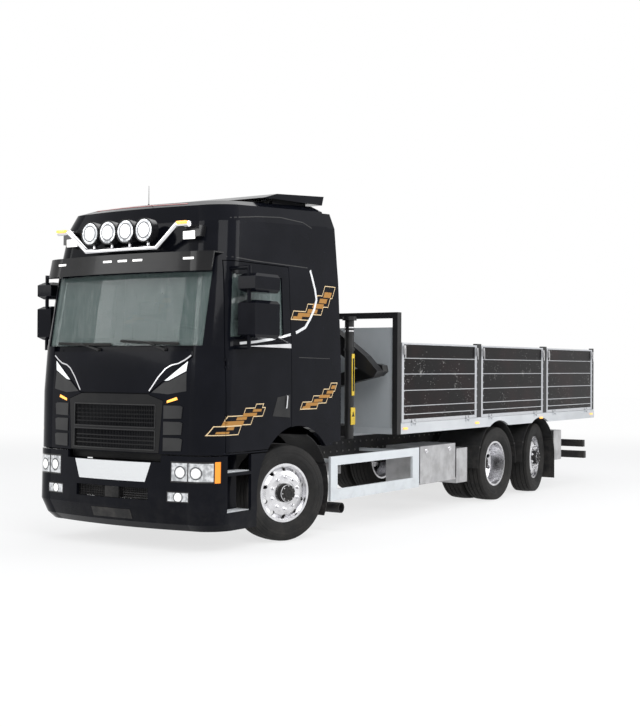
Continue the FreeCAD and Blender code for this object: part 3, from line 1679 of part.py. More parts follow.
def gate(length):
    """A side gate with its outer face on X = 0, running from Y = 0, with two hinge eyes."""
    thick = S.gate_thickness
    frame = S.gate_frame
    span = (S.moving_gap / 2, length - S.moving_gap / 2)
    slab = box((-thick, 0), span, (S.gate_bottom, S.gate_top))
    shallow = S.gate_groove / 2
    panel_y = (span[0] + frame, span[1] - frame)
    panel = box((-shallow, thick), panel_y, (S.gate_bottom + frame, S.gate_top - frame / 2))
    grooves = []
    for i in range(int(S.gate_grooves.value)):
        height = S.gate_top - S.gate_plank * (i + 1)
        grooves.append(box((-S.gate_groove, thick), panel_y, (height - shallow, height + shallow)))
    eye_half = S.hinge_eye_length / 2
    notch_half = eye_half + S.hinge_ear + S.moving_gap * 2
    notches = []
    eyes = []
    bores = []
    for spot in hinge_spots(length):
        notch_z = (S.gate_bottom - S.hinge_notch, S.gate_bottom + S.hinge_notch)
        notches.append(box((-thick * 2, thick), (spot - notch_half, spot + notch_half), notch_z))
        centre = (S.hinge_offset, hinge_height)
        eye_y = (spot - eye_half, spot + eye_half)
        eyes.append(rod("Y", centre, eye_y, S.hinge_eye_radius))
        eyes.append(box((-thick / 2, 0), eye_y, (hinge_height, notch_z[1] + frame / 4)))
        bore_y = (spot - eye_half * 2, spot + eye_half * 2)
        bores.append(rod("Y", centre, bore_y, S.hinge_pin_radius + S.pin_gap))
    return cut(fuse(cut(slab, panel, *grooves, *notches), *eyes), *bores)


def hinge_mounts(length):
    """Ears and pins for a gate's hinges, and the room its eyes need, in the gate's own frame."""
    eye_half = S.hinge_eye_length / 2
    gap = S.moving_gap
    ears = []
    rooms = []
    for spot in hinge_spots(length):
        centre = (S.hinge_offset, hinge_height)
        room_y = (spot - eye_half - gap, spot + eye_half + gap)
        ear_x = (-S.gate_thickness / 2, S.hinge_offset + S.hinge_ear)
        ear_z = (hinge_height - S.hinge_notch, hinge_height + S.hinge_ear)
        for low in (room_y[0] - S.hinge_ear, room_y[1]):
            ears.append(box(ear_x, (low, low + S.hinge_ear), ear_z))
        pin_y = (room_y[0] - S.hinge_ear, room_y[1] + S.hinge_ear)
        ears.append(rod("Y", centre, pin_y, S.hinge_pin_radius))
        rooms.append(rod("Y", centre, room_y, S.hinge_eye_radius + gap))
    return fuse(*ears), fuse(*rooms)


def gate_bays():
    """Where each side gate starts, and its length."""
    first = S.gate_one_front
    second = first + S.gate_one_length + S.post_length
    third = second + S.gate_two_length + S.post_length
    return [(first, S.gate_one_length), (second, S.gate_two_length), (third, S.gate_three_length)]


def quarter_turned(item, x, y):
    """A piece drawn for the left side, turned to face the tail."""
    item.Placement = FreeCAD.Placement(FreeCAD.Vector(), FreeCAD.Rotation(FreeCAD.Vector(0, 0, 1), 90))
    return place(item, x, y, 0)


def side_posts():
    """The left-hand posts between and behind the side gates."""
    posts = []
    bays = gate_bays()
    post_x = (half_width - S.post_thickness, half_width)
    for (first, length) in bays[:2]:
        y = (first + length, first + length + S.post_length)
        posts.append(box(post_x, y, (S.side_rail_top, S.post_top)))
    last = bays[2][0] + bays[2][1]
    posts.append(box(post_x, (last, last + S.corner_post_length), (S.side_rail_top, S.post_top)))
    return posts


def load_bed():
    """The platform with its rails, bearers and hinge pins, then the gates, posts and headboard."""
    start = S.body_front + S.headboard_depth
    rail_x = (half_width - S.side_rail_width, half_width)
    floor_x = (-rail_x[1] + S.seam, rail_x[1] - S.seam)
    floor = box(floor_x, (start, tail_face - S.seam), (S.floor_bottom, S.floor_top))
    side_rail = box(rail_x, (start, tail_face), (S.side_rail_bottom, S.side_rail_top))
    tail_rail = box((-rail_x[1], rail_x[1]), (tail_face - S.side_rail_width, tail_face),
                    (S.side_rail_bottom, S.side_rail_top))
    bearers = []
    pitch = (tail_face - start - S.bearer_length) / S.bearer_count
    for i in range(int(S.bearer_count.value)):
        bearer_y = (start + pitch * i, start + pitch * i + S.bearer_length)
        bearers.append(box((-rail_x[0], rail_x[0]), bearer_y, (S.bearer_bottom, S.floor_bottom)))
    runner = box((S.rail_outer - S.subframe_width, S.rail_outer), (start, rear - S.frame_rear_setback),
                 (S.rail_top, S.bearer_bottom))
    gates = []
    left_ears = []
    left_rooms = []
    for first, length in gate_bays():
        ears, rooms = hinge_mounts(length)
        left_ears.append(place(ears, half_width, first, 0))
        left_rooms.append(place(rooms, half_width, first, 0))
        gates.append(place(gate(length), half_width, first, 0))
    tail_length = S.body_width - S.moving_gap * 2
    tail_ears, tail_rooms = hinge_mounts(tail_length)
    quarter_turned(tail_ears, tail_length / 2, tail_face)
    quarter_turned(tail_rooms, tail_length / 2, tail_face)
    room_x = (S.guard_inner_x - S.seam, half_width + S.seam)
    wheel_rooms = [
        rod("X", (axle_y, S.tyre_radius), room_x, S.guard_radius + S.seam)
        for axle_y in (drive_axle, tag_axle)
    ]
    rooms = left_and_right(left_rooms + wheel_rooms)
    rails = cut(fuse(side_rail, mirrored(side_rail), tail_rail, *bearers), *rooms, tail_rooms)
    posts = side_posts()
    export("platform", fuse(floor, rails, runner, mirrored(runner), tail_ears, *left_ears, *posts,
                            *[mirrored(item) for item in left_ears + posts]))
    for number, item in zip(("one", "two", "three"), gates):
        export(f"gate_left_{number}", item)
        export(f"gate_right_{number}", mirrored(item))
    export("tailgate", quarter_turned(gate(tail_length), tail_length / 2, tail_face))

    y = (S.body_front, start)
    post = box((half_width - S.headboard_post, half_width), y, (S.side_rail_bottom, S.headboard_top))
    width = half_width - S.headboard_post / 2
    top_bar = box((-width, width), y, (S.headboard_top - S.headboard_post, S.headboard_top))
    low_bar = box((-width, width), y, (S.side_rail_bottom, S.side_rail_bottom + S.headboard_post))
    middle = (y[0] + y[1]) / 2
    panel = box((-width, width), (middle - S.headboard_panel / 2, middle + S.headboard_panel / 2),
                (S.side_rail_bottom, S.headboard_panel_top))
    foot_z = (S.rail_top, S.side_rail_bottom + S.headboard_post / 2)
    foot = box((S.rail_outer - S.subframe_width, S.rail_outer), y, foot_z)
    export("headboard", fuse(post, mirrored(post), top_bar, low_bar, panel, foot, mirrored(foot)))


def tail():
    """The rear underrun bar on its hangers and the lamp carrier."""
    y = (S.underrun_y, S.underrun_y + S.underrun_depth)
    bar = box((-S.underrun_half, S.underrun_half), y, (S.underrun_bottom, S.underrun_top))
    x = (S.rail_outer - S.subframe_width, S.rail_outer)
    hanger = box(x, (y[0], tail_frame_end()), (S.underrun_top - S.seam, S.rail_bottom))
    carrier_y = (y[0], y[0] + S.underrun_depth / 4)
    lamp_y = (carrier_y[1], S.tail_lamp_y + S.bracket_depth / 2)
    lamp_z = (S.tail_lamp_bottom, S.tail_lamp_bottom + S.tail_lamp_height)
    carrier = box((-S.tail_lamp_outer, S.tail_lamp_outer), carrier_y, lamp_z)
    lamp = box((S.tail_lamp_inner, S.tail_lamp_outer), lamp_y, lamp_z)
    export("rear_underrun", fuse(bar, hanger, mirrored(hanger), carrier, lamp, mirrored(lamp)))


def tail_frame_end():
    """Where the rails end at the tail."""
    return rear - S.frame_rear_setback


def along(origin, target):
    """A frame along a line in the XZ plane: gives a function from (run, offset) to (x, z), and its length."""
    run = target[0] - origin[0]
    climb = target[1] - origin[1]
    length = hypotenuse(run, climb)
    ux = run / length
    uz = climb / length

    def spot(s, t):
        """A point from its run along the line and its offset above it."""
        s = size(s)
        t = size(t)
        return origin[0] + s * ux - t * uz, origin[1] + s * uz + t * ux

    return spot, length


def lift_eye():
    """The lift cylinder's upper pin, under the main boom."""
    spot, length = along((S.column_x, S.pivot_height), (S.elbow_x, S.elbow_height))
    return spot(S.lift_eye_reach, -S.lift_eye_drop)


def slab_y(centre, width):
    """The two Y places of a plate about its middle."""
    return (centre - width / 2, centre + width / 2)


def beam_spans():
    """The Y spans of the two stabiliser beams in their housing."""
    second = S.beam_front + S.beam_width + S.moving_gap * 2 + S.beam_wall
    return (S.beam_front, S.beam_front + S.beam_width), (second, second + S.beam_width)


def beam_heights():
    """The stabiliser beams' lower and upper face."""
    low = S.rail_top + S.crane_base_height + S.beam_wall + S.moving_gap
    return low, low + S.beam_height


def lug_spans():
    """The Y spans of the two lugs that hold an eye of the lift cylinder."""
    inner = slab_y(S.column_y, S.lift_eye_width + S.moving_gap * 2)
    return (inner[0] - S.lug_thickness, inner[0]), (inner[1], inner[1] + S.lug_thickness)


def fork_spans():
    """The Y spans of the column head's two ears."""
    inner = slab_y(S.column_y, S.boom_width + S.moving_gap * 2)
    return (inner[0] - S.fork_wall, inner[0]), (inner[1], inner[1] + S.fork_wall)


def crane_base():
    """The base plate with its beam housing, the column, its head and both pins."""
    base_top = S.rail_top + S.crane_base_height
    wall = S.beam_wall
    gap = S.moving_gap
    plate_y = (S.crane_base_front, S.crane_base_rear)
    plate = box((-S.crane_plate_half, S.crane_plate_half), plate_y, (S.rail_top, base_top))
    beam_z = beam_heights()
    first, second = beam_spans()
    house_y = (first[0] - gap - wall, second[1] + gap + wall)
    house_z = (base_top, beam_z[1] + gap + wall)
    house = box((-S.beam_housing_half, S.beam_housing_half), house_y, house_z)
    room_z = (beam_z[0] - S.seat_gap, beam_z[1] + S.seat_gap)
    rooms = [box((-half_width, half_width), (low - gap, high + gap), room_z) for low, high in (first, second)]
    head_low = S.pivot_height - S.head_drop
    column = rod("Z", (S.column_x, S.column_y), (base_top - S.seam, head_low + S.seam), S.column_radius)
    near, far = fork_spans()
    head_x = (S.column_x - S.head_half, S.column_x + S.head_half)
    head = box(head_x, (near[0], far[1]), (head_low, head_low + S.head_plate))
    ears = [box(head_x, span, (head_low, S.pivot_height + S.crane_pin_radius * 2)) for span in (near, far)]
    pin = rod("Y", (S.column_x, S.pivot_height), (near[0], far[1]), S.crane_pin_radius)
    foot = (S.cylinder_foot_x, S.cylinder_foot_height)
    lug_x = (S.column_x, foot[0] + S.lift_eye_radius)
    lug_z = (foot[1] - S.lift_eye_radius, foot[1] + S.lift_eye_radius)
    lug_low, lug_high = lug_spans()
    lugs = [box(lug_x, span, lug_z) for span in (lug_low, lug_high)]
    foot_pin = rod("Y", foot, (lug_low[0], lug_high[1]), S.foot_pin_radius)
    export("crane_base", fuse(cut(fuse(plate, house), *rooms), column, head, *ears, pin, *lugs, foot_pin))


def main_boom():
    """The main boom with its lift lugs, its pivot's bore and the elbow's pin."""
    spot, length = along((S.column_x, S.pivot_height), (S.elbow_x, S.elbow_height))
    deep = S.boom_depth / 2
    tip = S.boom_tip_depth / 2
    boom_y = slab_y(S.column_y, S.boom_width)
    taper = length - S.boom_taper
    boom = prism("Y", [
        spot(-S.boom_heel, -deep / 2), spot(S.lift_eye_reach / 2, -S.boom_belly), spot(taper, -tip),
        spot(length + tip, -tip / 2), spot(length + tip, tip / 2), spot(taper, tip),
        spot(0, deep), spot(-S.boom_heel, deep / 2),
    ], boom_y)
    elbow_y = (boom_y[0], slab_y(S.jib_y, S.jib_width)[1])
    elbow_pin = rod("Y", (S.elbow_x, S.elbow_height), elbow_y, S.crane_pin_radius)
    reach = S.lift_eye_reach
    eye = S.lift_eye_radius
    low = -S.lift_eye_drop - eye
    lug_outline = [
        spot(reach - eye * 2, -deep / 2), spot(reach - eye, low),
        spot(reach + eye, low), spot(reach + eye * 2, -deep / 2),
    ]
    lugs = [prism("Y", lug_outline, span) for span in lug_spans()]
    bore_y = (boom_y[0] - S.moving_gap, boom_y[1] + S.moving_gap)
    bore = rod("Y", (S.column_x, S.pivot_height), bore_y, S.crane_pin_radius + S.pin_gap)
    export("main_boom", cut(fuse(boom, *lugs, elbow_pin), bore))


def lift_cylinder():
    """The lift cylinder's barrel on its foot pin, and its rod on the boom's lugs."""
    gap = S.moving_gap
    foot = (S.cylinder_foot_x, S.cylinder_foot_height)
    eye = lift_eye()
    eye_y = slab_y(S.column_y, S.lift_eye_width)
    wide_y = slab_y(S.column_y, S.cylinder_radius * 3)
    tube = along_rod(foot, eye, size(0), S.cylinder_length, S.cylinder_radius)
    tube_eye = rod("Y", foot, eye_y, S.lift_eye_radius)
    keep_y = slab_y(S.column_y, S.cylinder_radius * 2)
    keep = box((-half_width, half_width), keep_y, (S.rail_top, S.pivot_height))
    barrel = common(fuse(tube, tube_eye), keep)
    foot_radius = S.lift_eye_radius + S.lift_eye_radius / 2 + gap
    foot_room = cut(rod("Y", foot, wide_y, foot_radius), rod("Y", foot, eye_y, S.lift_eye_radius * 3))
    rod_radius = S.cylinder_rod_radius + S.pin_gap
    rod_room = along_rod(foot, eye, S.lift_eye_radius * 2, S.cylinder_length + gap, rod_radius)
    foot_bore = rod("Y", foot, wide_y, S.foot_pin_radius + S.pin_gap)
    export("lift_barrel", cut(barrel, foot_room, rod_room, foot_bore))
    length = along(foot, eye)[1]
    piston = along_rod(foot, eye, S.lift_eye_radius * 3, length, S.cylinder_rod_radius)
    export("lift_rod", fuse(piston, rod("Y", eye, eye_y, S.lift_eye_radius)))


def jib():
    """The folded jib on the elbow's pin, and the extension that slides in it."""
    gap = S.moving_gap
    jib_y = slab_y(S.jib_y, S.jib_width)
    spot, length = along((S.elbow_x, S.elbow_height), (S.jib_tip_x, S.jib_tip_height))
    half = S.jib_depth / 2
    arm = prism("Y", [
        spot(-half, -half / 2), spot(0, -half), spot(length, -half),
        spot(length, half), spot(0, half), spot(-half, half / 2),
    ], jib_y)
    inner = S.extension_depth / 2
    fit = inner + S.seat_gap
    start = half * 3
    room = prism("Y", [
        spot(start, -fit), spot(length + half, -fit), spot(length + half, fit), spot(start, fit),
    ], slab_y(S.jib_y, S.extension_width + gap * 2))
    bore_y = (jib_y[0] - gap, jib_y[1] + gap)
    bore = rod("Y", (S.elbow_x, S.elbow_height), bore_y, S.crane_pin_radius + S.pin_gap)
    export("jib", cut(arm, room, bore))
    end = length + S.extension_reach
    tube = prism("Y", [
        spot(start + gap, -inner), spot(end, -inner), spot(end, inner), spot(start + gap, inner),
    ], slab_y(S.jib_y, S.extension_width))
    hook = spot(length + S.extension_reach / 2, 0)
    hook_bore = rod("Y", hook, slab_y(S.jib_y, S.jib_width * 2), S.cylinder_rod_radius)
    export("jib_extension", cut(tube, hook_bore))


def stabilisers():
    """The two stabiliser beams in their housing, each with its leg swung up."""
    first, second = beam_spans()
    ring_low = S.leg_top - S.leg_ring_drop
    for hand, side, span in (("left", 1, first), ("right", -1, second)):
        inner_end = -S.beam_inner_half * side
        outer_end = S.leg_x * side
        beam_x = (inner_end, outer_end) if side > 0 else (outer_end, inner_end)
        beam = box(beam_x, span, beam_heights())
        middle = (outer_end, (span[0] + span[1]) / 2)
        leg = rod("Z", middle, (S.leg_bottom, S.leg_top), S.leg_radius)
        pad = rod("Z", middle, (S.leg_top - S.leg_foot_height, S.leg_top), S.leg_foot_radius)
        ring = rod("Z", middle, (ring_low, ring_low + S.leg_ring), S.leg_ring_radius)
        export(f"stabiliser_{hand}", fuse(beam, leg, pad, ring))


def crane():
    """The loader crane: base, column, folded booms, lift cylinder and stabilisers."""
    crane_base()
    main_boom()
    lift_cylinder()
    jib()
    stabilisers()


def along_rod(start, end, low, high, radius):
    """A round bar on the line between two XZ points in the crane's plane, between two runs along it."""
    item = doc.addObject("Part::Cylinder", "Along")
    spot, length = along(start, end)
    bind(item, "Radius", radius)
    bind(item, "Height", high - low)
    run = end[0].value - start[0].value
    climb = end[1].value - start[1].value
    angle = math.degrees(math.atan2(run, climb))
    item.Placement = FreeCAD.Placement(FreeCAD.Vector(), FreeCAD.Rotation(FreeCAD.Vector(0, 1, 0), angle))
    x, z = spot(low, 0)
    return place(item, x, S.column_y, z)


chassis_frame()
engine()
axles()
steered_axle("front", front_axle, S.front_steer_rest)
steered_axle("tag", tag_axle, S.tag_steer_rest)
drive_wheels()
cab()
roof_gear()
cab_inside()
bumper()
mudguards()
skirts()
boxes()
tank()
load_bed()
tail()
crane()
doc.recompute()

for item in doc.Objects:
    if "Invalid" in item.State or "Error" in item.State:
        raise RuntimeError(f"{item.Name} ({item.Label}) did not build: {item.State}")

os.makedirs("parts", exist_ok=True)
for name, item in exports.items():
    shape = item.Shape
    if shape.isNull() or not shape.isValid() or not shape.Solids:
        raise RuntimeError(f"{name} has no valid solid")
    shape.exportStep(f"parts/{name}.step")
    print(f"{name}: {len(shape.Solids)} solids, {shape.Volume / 1e9:.4f} cubic metres")
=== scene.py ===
import logging
import math
from dataclasses import dataclass
from enum import Enum
from functools import cache
from typing import Callable, Iterable, Sequence

import bmesh
import bpy
from mathutils import Matrix, Vector
from mathutils.bvhtree import BVHTree


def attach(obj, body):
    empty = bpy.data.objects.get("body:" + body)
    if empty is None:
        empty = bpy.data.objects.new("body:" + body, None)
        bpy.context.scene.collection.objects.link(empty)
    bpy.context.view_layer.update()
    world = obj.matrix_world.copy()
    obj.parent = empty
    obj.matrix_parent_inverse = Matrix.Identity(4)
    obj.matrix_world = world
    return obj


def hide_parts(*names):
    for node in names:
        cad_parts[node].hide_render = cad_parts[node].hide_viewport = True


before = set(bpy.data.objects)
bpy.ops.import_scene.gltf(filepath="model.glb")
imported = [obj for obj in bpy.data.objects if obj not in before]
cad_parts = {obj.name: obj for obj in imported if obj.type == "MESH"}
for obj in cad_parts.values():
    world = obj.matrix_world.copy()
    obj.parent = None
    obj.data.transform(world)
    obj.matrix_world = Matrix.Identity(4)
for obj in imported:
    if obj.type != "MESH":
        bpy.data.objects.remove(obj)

log = logging.getLogger("flatbed_truck")
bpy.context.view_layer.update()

Colour = tuple[float, float, float]
Point = tuple[float, float, float]
Spot = tuple[float, float]
Flat = Sequence[Spot]
Slab = tuple[float, float, float, float]
Places = list[tuple[Vector, Vector]]
UP = Vector((0.0, 0.0, 1.0))
BAYS: dict[str, Spot] = {"one": (-1.271, 0.678), "two": (0.812, 2.813), "three": (2.947, 4.736)}


class Axis(Enum):
    """A row axis, as an index into a point."""

    X = 0
    Y = 1
    Z = 2


class View(Enum):
    """A look at the truck: the ray's heading, the axes that place it and where the body is."""

    FRONT = ((0.0, 1.0, 0.0), (0, 2), 4.8)
    REAR = ((0.0, -1.0, 0.0), (0, 2), 4.8)
    LEFT = ((-1.0, 0.0, 0.0), (1, 2), 1.24)
    RIGHT = ((1.0, 0.0, 0.0), (1, 2), 1.24)
    TOP = ((0.0, 0.0, -1.0), (0, 1), 3.3)


class Side(Enum):
    """The truck's two sides, with the sign of X on each."""

    LEFT = 1
    RIGHT = -1

    @property
    def label(self) -> str:
        """The side in the names of pieces and bodies."""
        return self.name.lower()

    @property
    def view(self) -> View:
        """The look at this side."""
        return View[self.name]

    def span(self, face: float, low: float, high: float) -> Spot:
        """Where a piece lies along X.

        Args:
            face: how far the face that carries it is from the middle.
            low: where the piece starts off that face.
            high: where it ends off that face.

        Returns:
            The lower and the higher X.
        """
        ends = sorted(self.value * (face + rise) for rise in (low, high))
        return ends[0], ends[1]


def spread(low: float, high: float, count: int) -> list[float]:
    """Space numbers evenly, with both ends among them."""
    return [low + (high - low) * step / (count - 1) for step in range(count)]


def operator(operation: str) -> Callable[["Wire", "Wire | float"], "Wire"]:
    """Write a Python operator for one operation of the Math node."""

    def apply(self: "Wire", other: "Wire | float") -> "Wire":
        """Add the Math node on two numbers."""
        return self.maths(operation, other)

    return apply


class Wire:
    """A number in a shader that takes part in Python sums."""

    def __init__(self, tree: "Tree", socket: bpy.types.NodeSocket) -> None:
        """Wrap one output socket of a tree's node."""
        self.tree = tree
        self.socket = socket

    def maths(self, operation: str, *values: "Wire | float") -> "Wire":
        """Add a Math node on this wire.

        Args:
            operation: the Math node's operation.
            values: the node's further inputs.

        Returns:
            The node's result.
        """
        return self.tree.wire("ShaderNodeMath", {"operation": operation}, dict(enumerate((self, *values))))

    __add__ = operator("ADD")
    __sub__ = operator("SUBTRACT")
    __mul__ = operator("MULTIPLY")
    __gt__ = operator("GREATER_THAN")
    __lt__ = operator("LESS_THAN")
    least = operator("MINIMUM")
    most = operator("MAXIMUM")

    def __rsub__(self, other: float) -> "Wire":
        """Difference the other way round."""
        return self * -1.0 + other

    def __abs__(self) -> "Wire":
        """Size without the sign."""
        return self.maths("ABSOLUTE")

    def ramp(self, low: float, high: float) -> "Wire":
        """Zero below low, one above high, smooth between.

        Args:
            low: where the ramp starts.
            high: where it ends; lower than low for a falling ramp.

        Returns:
            The eased value.
        """
        inputs = {"Value": self, "From Min": low, "From Max": high, "To Min": 0.0, "To Max": 1.0}
        return self.tree.wire("ShaderNodeMapRange", {"interpolation_type": "SMOOTHSTEP"}, inputs)


def distance(first: Wire, second: Wire) -> Wire:
    """How far a place lies from the point where both numbers are zero."""
    return (first * first + second * second).maths("SQRT")


class Tree:
    """A shader's node tree that is being written."""

    def __init__(self, tree: bpy.types.NodeTree) -> None:
        """Start from an empty tree."""
        self.tree = tree
        tree.nodes.clear()

    def node(self, kind: str, settings: dict | None = None, inputs: dict | None = None) -> bpy.types.Node:
        """Add any node.

        Args:
            kind: the node's type name.
            settings: attributes to set first.
            inputs: values or links by socket name or index.

        Returns:
            The new node.
        """
        made = self.tree.nodes.new(kind)
        for key, value in (settings or {}).items():
            setattr(made, key, value)
        for key, value in (inputs or {}).items():
            self.feed(made.inputs[key], value)
        return made

    def feed(self, socket: bpy.types.NodeSocket, value: object) -> None:
        """Set a socket to a value, or link it to a wire or an output."""
        source = value.socket if isinstance(value, Wire) else value
        if isinstance(source, bpy.types.NodeSocket):
            self.tree.links.new(source, socket)
        elif isinstance(source, tuple) and socket.type == "RGBA":
            socket.default_value = (*source, 1.0)
        else:
            socket.default_value = source

    def wire(self, kind: str, settings: dict | None, inputs: dict, output: int | str = 0) -> Wire:
        """Add a node and take one of its outputs as a number."""
        return Wire(self, self.node(kind, settings, inputs).outputs[output])

    def seen(self) -> Wire:
        """One for rays from the eye, from gloss and through glass."""
        path = self.node("ShaderNodeLightPath")
        names = ("Is Camera Ray", "Is Glossy Ray", "Is Transmission Ray")
        eye, gloss, glass = (Wire(self, path.outputs[name]) for name in names)
        return eye.most(gloss).most(glass)


class Recipe(Tree):
    """A material that is being written on Object coordinates."""

    def __init__(self, name: str) -> None:
        """Start a material with its shader and coordinates."""
        self.material = bpy.data.materials.new(name)
        self.material.use_nodes = True
        super().__init__(self.material.node_tree)
        self.shader = self.node("ShaderNodeBsdfPrincipled")
        self.output = self.node("ShaderNodeOutputMaterial", None, {"Surface": self.shader.outputs[0]})
        self.place = self.node("ShaderNodeTexCoord").outputs["Object"]
        split = self.node("ShaderNodeSeparateXYZ", None, {0: self.place})
        self.along = {axis: Wire(self, split.outputs[axis.value]) for axis in Axis}

    def noise(self, scale: float, detail: float = 3.0, rough: float = 0.5, stretch: Point | None = None) -> Wire:
        """Cloudy noise.

        Args:
            scale: how many clouds to a metre.
            detail: octaves.
            rough: how strong the fine octaves are.
            stretch: scale along each axis, for streaks.

        Returns:
            A number around one half.
        """
        vector = self.place
        if stretch:
            vector = self.node("ShaderNodeMapping", None, {"Vector": vector, "Scale": stretch}).outputs[0]
        inputs = {"Vector": vector, "Scale": scale, "Detail": detail, "Roughness": rough}
        return self.wire("ShaderNodeTexNoise", None, inputs)

    def cells(self, scale: float) -> Wire:
        """Distance from the middle of each Voronoi cell."""
        return self.wire("ShaderNodeTexVoronoi", None, {"Vector": self.place, "Scale": scale}, "Distance")

    def mix(self, share: Wire | float, first: object, second: object) -> bpy.types.NodeSocket:
        """Blend two colours.

        Args:
            share: how much of the second shows.
            first: the colour at zero.
            second: the colour at one.

        Returns:
            The blended colour.
        """
        return self.node("ShaderNodeMix", {"data_type": "RGBA"}, {0: share, 6: first, 7: second}).outputs[2]

    def bump(self, height: Wire, depth: float) -> None:
        """Roughen the surface by a height from zero to one that stands for a depth in metres."""
        made = self.node("ShaderNodeBump", None, {"Height": height, "Distance": depth, "Strength": 1.0})
        self.feed(self.shader.inputs["Normal"], made.outputs[0])

    def shade(self, **sockets: object) -> bpy.types.Material:
        """Set the shader's sockets, named with underscores for spaces, and hand the material over."""
        for key, value in sockets.items():
            self.feed(self.shader.inputs[key.replace("_", " ")], value)
        return self.material


@dataclass(frozen=True)
class Finish:
    """A worn surface: one colour with clouds, dust low down and a fine bump."""

    name: str
    colour: Colour
    second: Colour
    roughness: Spot = (0.35, 0.6)
    metallic: float = 0.0
    coat: float = 0.0
    cloud: float = 3.0
    grain: float = 120.0
    depth: float = 0.0004
    streak: Point | None = None
    dust: float = 0.25
    dust_top: float = 1.2
    dust_foot: float = 0.1
    dust_scale: float = 9.0
    dust_patches: Spot = (0.35, 0.75)
    dust_roughness: float = 0.4
    dust_colour: Colour = (0.23, 0.21, 0.19)
    specular: float = 0.5

    def base(self, recipe: Recipe) -> bpy.types.NodeSocket:
        """The clean colour; finishes with a pattern replace this."""
        return recipe.mix(recipe.noise(self.cloud, 4.0).ramp(0.35, 0.7), self.colour, self.second)

    def dirt(self, recipe: Recipe) -> Wire:
        """How much dust lies on a place: patches that thicken towards the ground."""
        low_down = recipe.along[Axis.Z].ramp(self.dust_top, self.dust_foot)
        return low_down * recipe.noise(self.dust_scale, 5.0, 0.65).ramp(*self.dust_patches) * self.dust

    def rough(self, clouds: Wire, *more: Wire) -> Wire:
        """The roughness that the clouds give, and what comes on top of it."""
        low, high = self.roughness
        total = clouds * (high - low) + low
        for part in more:
            total = total + part
        return total.least(1.0)

    def build(self) -> bpy.types.Material:
        """Write the node tree."""
        recipe = Recipe(self.name)
        clouds = recipe.noise(self.cloud * 2.3, 4.0, 0.6)
        dirt = self.dirt(recipe)
        recipe.bump(recipe.noise(self.grain, 2.0, 0.5, self.streak), self.depth)
        return recipe.shade(
            Base_Color=recipe.mix(dirt, self.base(recipe), self.dust_colour),
            Roughness=self.rough(clouds, dirt * self.dust_roughness),
            Metallic=self.metallic,
            Coat_Weight=self.coat,
            Coat_Roughness=0.04,
            Specular_IOR_Level=self.specular,
        )


@dataclass(frozen=True)
class StripedPaint(Finish):
    """Gloss paint with stepped metallic stripes along the cab's sides.

    A slab is slanted and lies in the side view: its middle along and up, its length and its thickness.
    """

    stripe: Colour = (0.46, 0.23, 0.065)
    outline: Colour = (0.74, 0.56, 0.33)
    slant: float = 0.55
    edge: float = 0.0045
    side_from: float = 1.08
    fleck: float = 900.0
    slabs: tuple[Slab, ...] = (
        (-4.56, 1.185, 0.14, 0.022), (-4.47, 1.225, 0.10, 0.030), (-4.42, 1.275, 0.30, 0.042),
        (-4.30, 1.318, 0.16, 0.028), (-4.17, 1.352, 0.22, 0.034), (-4.05, 1.392, 0.14, 0.026),
        (-3.20, 1.400, 0.14, 0.026), (-3.10, 1.432, 0.22, 0.034), (-2.98, 1.470, 0.16, 0.030),
        (-2.86, 1.512, 0.20, 0.034), (-2.76, 1.556, 0.12, 0.034), (-2.69, 1.610, 0.08, 0.040),
        (-3.34, 2.350, 0.16, 0.030), (-3.22, 2.385, 0.22, 0.040), (-3.06, 2.430, 0.18, 0.044),
        (-2.95, 2.490, 0.20, 0.050), (-2.85, 2.550, 0.14, 0.050), (-2.76, 2.620, 0.14, 0.060),
    )
    frames: tuple[Slab, ...] = (
        (-4.50, 1.205, 0.34, 0.085), (-4.34, 1.300, 0.42, 0.090), (-4.10, 1.375, 0.32, 0.085),
        (-4.02, 1.430, 0.12, 0.050), (-3.14, 1.420, 0.30, 0.075), (-2.95, 1.480, 0.28, 0.080),
        (-2.80, 1.545, 0.20, 0.090), (-2.70, 1.610, 0.12, 0.090), (-3.26, 2.375, 0.34, 0.090),
        (-3.02, 2.450, 0.30, 0.110), (-2.86, 2.545, 0.26, 0.120), (-2.74, 2.650, 0.20, 0.130),
    )

    def _away(self, recipe: Recipe, slabs: Sequence[Slab]) -> Wire:
        """Distance from the slabs' common outline, below zero inside it."""
        height = recipe.along[Axis.Z]
        slid = recipe.along[Axis.Y] - height * self.slant
        nearest: Wire | None = None
        for run, level, length, thickness in slabs:
            ends = abs(slid - (run - level * self.slant)) - length / 2
            away = ends.most(abs(height - level) - thickness / 2)
            nearest = away if nearest is None else nearest.least(away)
        return nearest

    def base(self, recipe: Recipe) -> bpy.types.NodeSocket:
        """Black with the stripes let in."""
        black = recipe.mix(recipe.noise(self.cloud, 3.0).ramp(0.4, 0.7), self.colour, self.second)
        flank = abs(recipe.along[Axis.X]) > self.side_from
        shade = tuple(part * 0.7 for part in self.stripe)
        gold = recipe.mix(recipe.noise(self.fleck, 1.0), self.stripe, shade)
        line = (abs(self._away(recipe, self.frames)) < self.edge) * flank
        filled = (self._away(recipe, self.slabs) < 0.0) * flank
        return recipe.mix(filled, recipe.mix(line, black, self.outline), gold)


